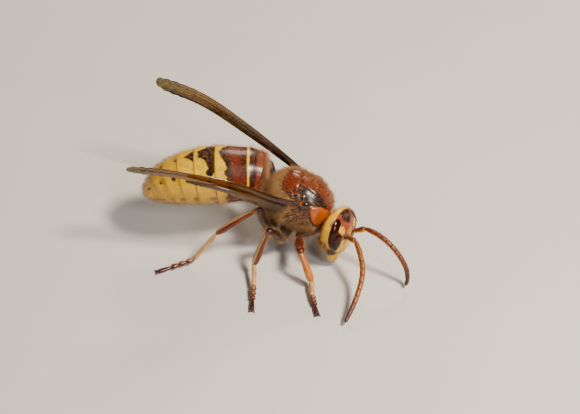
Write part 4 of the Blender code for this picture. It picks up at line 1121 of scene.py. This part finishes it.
def make_antennae():
    """Each antenna as one piece: the bulb at its root, the scape, and a flagellum of twelve lengths.

    The flagellum's radius falls at each ring, and its marks follow its own angle and length.
    """
    rows, cols, scape_rows = 300, 24, 24
    height = np.sin(ring_angles(cols))
    for side, sign in SIDES:
        root = mirrored(SCAPE_ROOT, sign, HEAD_FRAME)
        elbow = np.array(ANTENNAE[side][0])
        reach = unit(elbow - root)
        bulb = article(root - reach * 0.1, root + reach * 0.5, (0.2, 0.3, 0.2), (0.85, 0, 0.2), rows=14)
        long = elbow - reach * 0.1 - root
        size = curve(np.linspace(0, 1, scape_rows), (0, 0.1, 0.4, 0.8, 0.97, 1),
                     (0.14, 0.24, 0.28, 0.32, 0.28, 0.14))
        scape = tube(root + long * np.linspace(0.28, 1, scape_rows)[:, None], size, size, None, cols)
        above = step(height, -0.2, 0.5)[None] * np.ones((scape_rows, 1))
        scape = closed_grid(scape, np.stack((0.75 * above, 0.8 * (1 - above), 0 * above), -1))
        share = np.linspace(0, 1, rows)
        phase = (share * 12) % 1
        joint = np.minimum(phase, 1 - phase)
        radius = curve(share, (0, 0.05, 0.12, 0.75, 0.97, 1), (0.2, 0.26, 0.3, 0.28, 0.2, 0.08))
        radius = radius * (1 - 0.13 * bump(joint, 0.07) + 0.04 * np.sin(phase * PI))
        grid = tube(spline(ANTENNAE[side], rows), radius, radius, None, cols)
        upper = step(height, -0.3, 0.7)[None] * np.ones((rows, 1)) * ANTENNA_BROWN[side]
        ring = bump(joint, 0.1)[:, None] * np.ones((1, cols))
        tip = step(share, 0.55, 0.95)[:, None] * np.ones((1, cols))
        brown, pale = np.clip(0.35 * upper + 0.7 * ring, 0, 1), np.clip(0.6 * (1 - upper), 0, 1) * (1 - tip)
        flagellum = closed_grid(grid, np.stack((brown, pale, 0.8 * tip), -1))
        piece("antenna_" + side, joined((bulb, scape, flagellum)), antenna_cuticle, "rust",
              ("scape_" + side, "flagellum_base_" + side, "flagellum_tip_" + side))


def make_gaster():
    """The gaster's skin, in place of its seven solids, and its hair, longest on the front wall."""
    grid, marks = gaster_grid()
    # Painted shade: each ring's lower part gets more of the red-brown mark, darkest at the bottom.
    belly = step(grid[..., 2] - grid[..., 2].mean(axis=1, keepdims=True), 0.3, -1.6)
    marks[..., 1] = np.clip(marks[..., 1] + 0.3 * belly, 0, 1)
    piece("gaster_skin", closed_grid(grid, marks), gaster_cuticle, "yellow",
          ["gaster_%d" % k for k in range(1, 8)])
    thin = grid[::3, ::2]
    row = np.arange(len(thin))[:, None] * np.ones((1, thin.shape[1]))
    front = step(row, 16, 8)
    density = 0.5 + 2.0 * front + 0.9 * step(row, 90, 140)
    length = 0.46 + 0.2 * front
    tint = np.stack((0.1 + 0.3 * front, 0.2 - 0.1 * front, 0 * row), -1)
    hair = fur(thin, GASTER_HAIRS, density, length, 0.42, GASTER_HAIR_RADIUS, tint, 23)
    coat("gaster_hair", hair, "yellow")


def make_leg(name):
    """Coxa, trochanter, femur, tibia with spurs, five tarsomeres, claws and foot pad."""
    coxa, hip, knee, ankle, basitarsus, fourth, toe = (np.array(joint) for joint in LEGS[name])
    front = "front" in name
    thigh, shin, tarsal = unit(knee - hip), unit(ankle - knee), unit(basitarsus - ankle)
    neck = hip + thigh * 0.55
    # The dark mark on coxa, trochanter and femur is partly their own dark brown and partly painted shade
    # under the thorax, strongest on the mid and hind femora.
    parts = [
        article(coxa, hip, (0.62, 0.7, 0.6, 0.32), (0, 0.95, 0), side_way=(1, 0, 0)),
        article(hip - thigh * 0.12, neck, (0.3, 0.36, 0.3), (0, 0.7, 0), rows=12),
        article(neck - thigh * 0.1, knee + thigh * 0.1, (0.26, 0.44, 0.52, 0.46, 0.36),
                (0, 0.3 if front else 1.0, 0)),
        # Each edge here and on the tarsi below is the strength of a painted highlight along the upper side.
        article(knee, ankle + shin * 0.06, (0.24, 0.3, 0.36, 0.42, 0.44, 0.36),
                (0, 0, 0.85) if front else (0, 0.3, 0), 0.85, bend=0.1, edge=0.2 if front else 0.7),
    ]
    side = unit(np.cross(shin, UP))
    for way in (-1, 1):
        root = ankle + side * way * 0.24 - UP * 0.1
        parts.append(spike(root, root + tarsal * 0.95 + side * way * 0.22, 0.055, (0.75, 0, 0)))
    parts.append(article(ankle - tarsal * 0.02, basitarsus, (0.21, 0.24, 0.25, 0.3), (0.72, 0, 0.2),
                         0.9, edge=0.3))
    for k in range(3):
        low, high = (basitarsus + (fourth - basitarsus) * end / 3 for end in (k, k + 1))
        parts.append(article(low - unit(high - low) * 0.05, high, (0.16, 0.25, 0.33, 0.27), (0, 0.45, 0),
                             0.85, rows=12, edge=0.5 - 0.2 * k))
    parts.append(article(fourth - unit(toe - fourth) * 0.04, toe, (0.16, 0.22, 0.27, 0.29), (0, 0.75, 0),
                         0.85, rows=14))
    way = unit((toe - fourth) * np.array((1, 1, 0)))
    aside = np.cross(way, UP)
    for sign in (-1, 1):
        root = toe + aside * sign * 0.1 + UP * 0.06
        tip = root + way * 0.32 + aside * sign * 0.26 - UP * 0.16
        parts.append(spike(root, tip, 0.1, (0, 1, 0), UP * 0.06))
    parts.append(article(toe - way * 0.1, toe + way * 0.2 - UP * 0.05, (0.14, 0.22, 0.2), (0, 0.6, 0),
                         0.6, rows=10))
    points, faces, marks = joined(parts)
    points[:, 2] = np.maximum(points[:, 2], 0.0)
    piece("leg_" + name, (points, faces, marks), leg_cuticle, "leg",
          [part + "_" + name for part in ("coxa", "femur", "tibia", "tarsus")])


def make_leg_hair():
    """Golden hairs down the legs: long on coxae and femora, short on shins and tarsi.

    Each length of each leg has its own cell, 6 by 5, of the square that the hairs are unwrapped on.
    """
    rows, cols = 24, 12
    tint = np.array((0.3, 0.3, 0.1))
    shapes = []
    for order, joints in enumerate(LEGS.values()):
        coxa, hip, knee, ankle, basitarsus, _, toe = (np.array(joint) for joint in joints)
        runs = ((coxa, hip, 0.6, 0.6, 500), (hip, knee, 0.46, 0.5, 520), (knee, ankle, 0.38, 0.16, 420),
                (ankle, basitarsus, 0.22, 0.14, 220), (basitarsus, toe, 0.2, 0.14, 240))
        for k, (start, end, radius, length, count) in enumerate(runs):
            path = start + (end - start) * np.linspace(0.05, 0.95, rows)[:, None]
            size = np.full(rows, radius)
            grid = tube(path, size, size, None, cols)
            hair = fur(grid, count, np.ones((rows, cols)), length, 0.55, LEG_HAIR_RADIUS, tint,
                       100 + order * 10 + k, spread=0.3)
            points, triangles, marks, uv = hair
            shapes.append((points, triangles, marks, (uv + (order, k)) / (6, 5)))
    counts = np.cumsum([0] + [len(shape[0]) for shape in shapes])
    triangles = np.concatenate([shape[1] + count for shape, count in zip(shapes, counts)])
    points, marks, uv = (np.concatenate([shape[k] for shape in shapes]) for k in (0, 2, 3))
    points[:, 2] = np.maximum(points[:, 2], 0.0)
    coat("leg_hair", (points, triangles, marks, uv), "leg")


def make_wings():
    """Forewings, the hindwings under and outside them, and the scales over their roots."""
    for side, sign in SIDES:
        lean = np.radians(HINDWING_LEANS[side])
        wide_way = np.array((0, np.sin(lean), np.cos(lean)))
        route = [np.array(point) for point in WINGS[side]]
        path = spline([mirrored(WING_ROOT, sign, THORAX), *route], 280)
        fore = wing_shape(path, FOREWING_HALF_WIDTHS, WING_LEANS[side], sign)
        piece("wing_fore_" + side, fore, membrane, "wing", ("forewing_" + side,))
        outward = np.array((0, sign, 0.0))
        outward = unit(outward - wide_way * (outward @ wide_way))
        under = [point + outward * HINDWING_OUT - wide_way * drop
                 for point, drop in zip(route, HINDWING_DROPS[side])]
        end = under[1] + (under[2] - under[1]) * HINDWING_END
        path = spline([mirrored(HINDWING_ROOT, sign, THORAX), under[0], under[1], end], 180)
        hind = wing_shape(path, HINDWING_HALF_WIDTHS, WING_LEANS[side], sign)
        piece("wing_hind_" + side, hind, membrane, "wing", ("hindwing_" + side,))
        make_tegula(side, sign)


def make_tegula(side, sign):
    """The scale over a wing's root: an ellipsoid drawn from its outer pole to its inner one."""
    share = np.linspace(0.02, 1, 24)[:, None]
    angles = ring_angles(40)[None]
    (ahead, out, rise), (long, thick, high) = TEGULA_AT, TEGULA_SIZE
    x = ahead + long * np.sin(share * PI) * np.cos(angles)
    z = rise + high * np.sin(share * PI) * np.sin(angles)
    y = sign * (out + thick * np.cos(share * PI)) + 0 * angles
    pale = 0.9 * step(x, ahead - 0.1, ahead - 0.4) * step(z, rise - 0.1, rise + 0.1)
    scale = closed_grid(placed(np.stack((x, y, z), -1), THORAX), np.stack((0 * x, 0 * x, pale), -1))
    piece("tegula_scale_" + side, scale, plate_cuticle, "dark", ("tegula_" + side,))


def make_stage():
    """A plain pale floor, soft lamps and the camera at the photo's angle."""
    half = FLOOR_HALF_WIDTH
    mesh = bpy.data.meshes.new("floor")
    corners = [(-half, -half, 0), (half, -half, 0), (half, half, 0), (-half, half, 0)]
    mesh.from_pydata(corners, [], [(0, 1, 2, 3)])
    finish, tree, shader = new_finish("pale matt floor")
    place = node(tree, "ShaderNodeTexCoord").outputs["Object"]
    tree.links.new(mottled(tree, place, linear("#e2dfd8"), 20, 0.02), shader.inputs["Base Color"])
    shader.inputs["Roughness"].default_value = 0.8
    mesh.materials.append(finish)
    added("floor", mesh)
    world = bpy.data.worlds.new("soft room")
    world.use_nodes = True
    world.node_tree.nodes["Background"].inputs["Color"].default_value = linear("#e8ecf2")
    world.node_tree.nodes["Background"].inputs["Strength"].default_value = ROOM_LIGHT
    bpy.context.scene.world = world
    for name, place, power, wide, tint in LAMPS:
        lamp = bpy.data.lights.new(name, "AREA")
        lamp.energy, lamp.size = power, wide
        lamp.color = linear(tint)[:3]
        back = np.array(place) - np.array(LAMPS_AIM)
        added(name, lamp).matrix_world = Matrix.Translation(place) @ looking(unit(back))
    azimuth, elevation = np.radians(CAMERA_AZIMUTH), np.radians(CAMERA_ELEVATION)
    level = np.cos(elevation)
    back = np.array((np.sin(azimuth) * level, -np.cos(azimuth) * level, np.sin(elevation)))
    right = np.array((np.cos(azimuth), np.sin(azimuth), 0))
    up = np.cross(back, right)
    aim = np.array((0, 0, AIM_HEIGHT)) + right * AIM_SIDE + up * AIM_RISE + FOOTPRINT
    lens_mm = SENSOR_WIDTH * CAMERA_DISTANCE * PIXELS_PER_MM / PHOTO_WIDTH
    camera = bpy.data.cameras.new("camera")
    camera.lens, camera.sensor_width, camera.clip_start = lens_mm, SENSOR_WIDTH, 0.01
    at = (aim + back * CAMERA_DISTANCE) * MM
    made = added("camera", camera)
    made.matrix_world = Matrix.Translation(at.tolist()) @ axes(right, up, back)
    bpy.context.scene.camera = made


def axes(right, up, back):
    """The rotation that gives a lamp or camera these ways for its right, its top and its back."""
    return Matrix(np.column_stack((right, up, back)).tolist()).to_4x4()


def looking(back):
    """Rotation of a level lamp whose back points along a way."""
    right = unit(np.cross(UP, back))
    return axes(right, np.cross(back, right), back)


make_thorax()
make_head()
make_antennae()
make_gaster()
for leg in LEGS:
    make_leg(leg)
make_leg_hair()
make_wings()
make_stage()
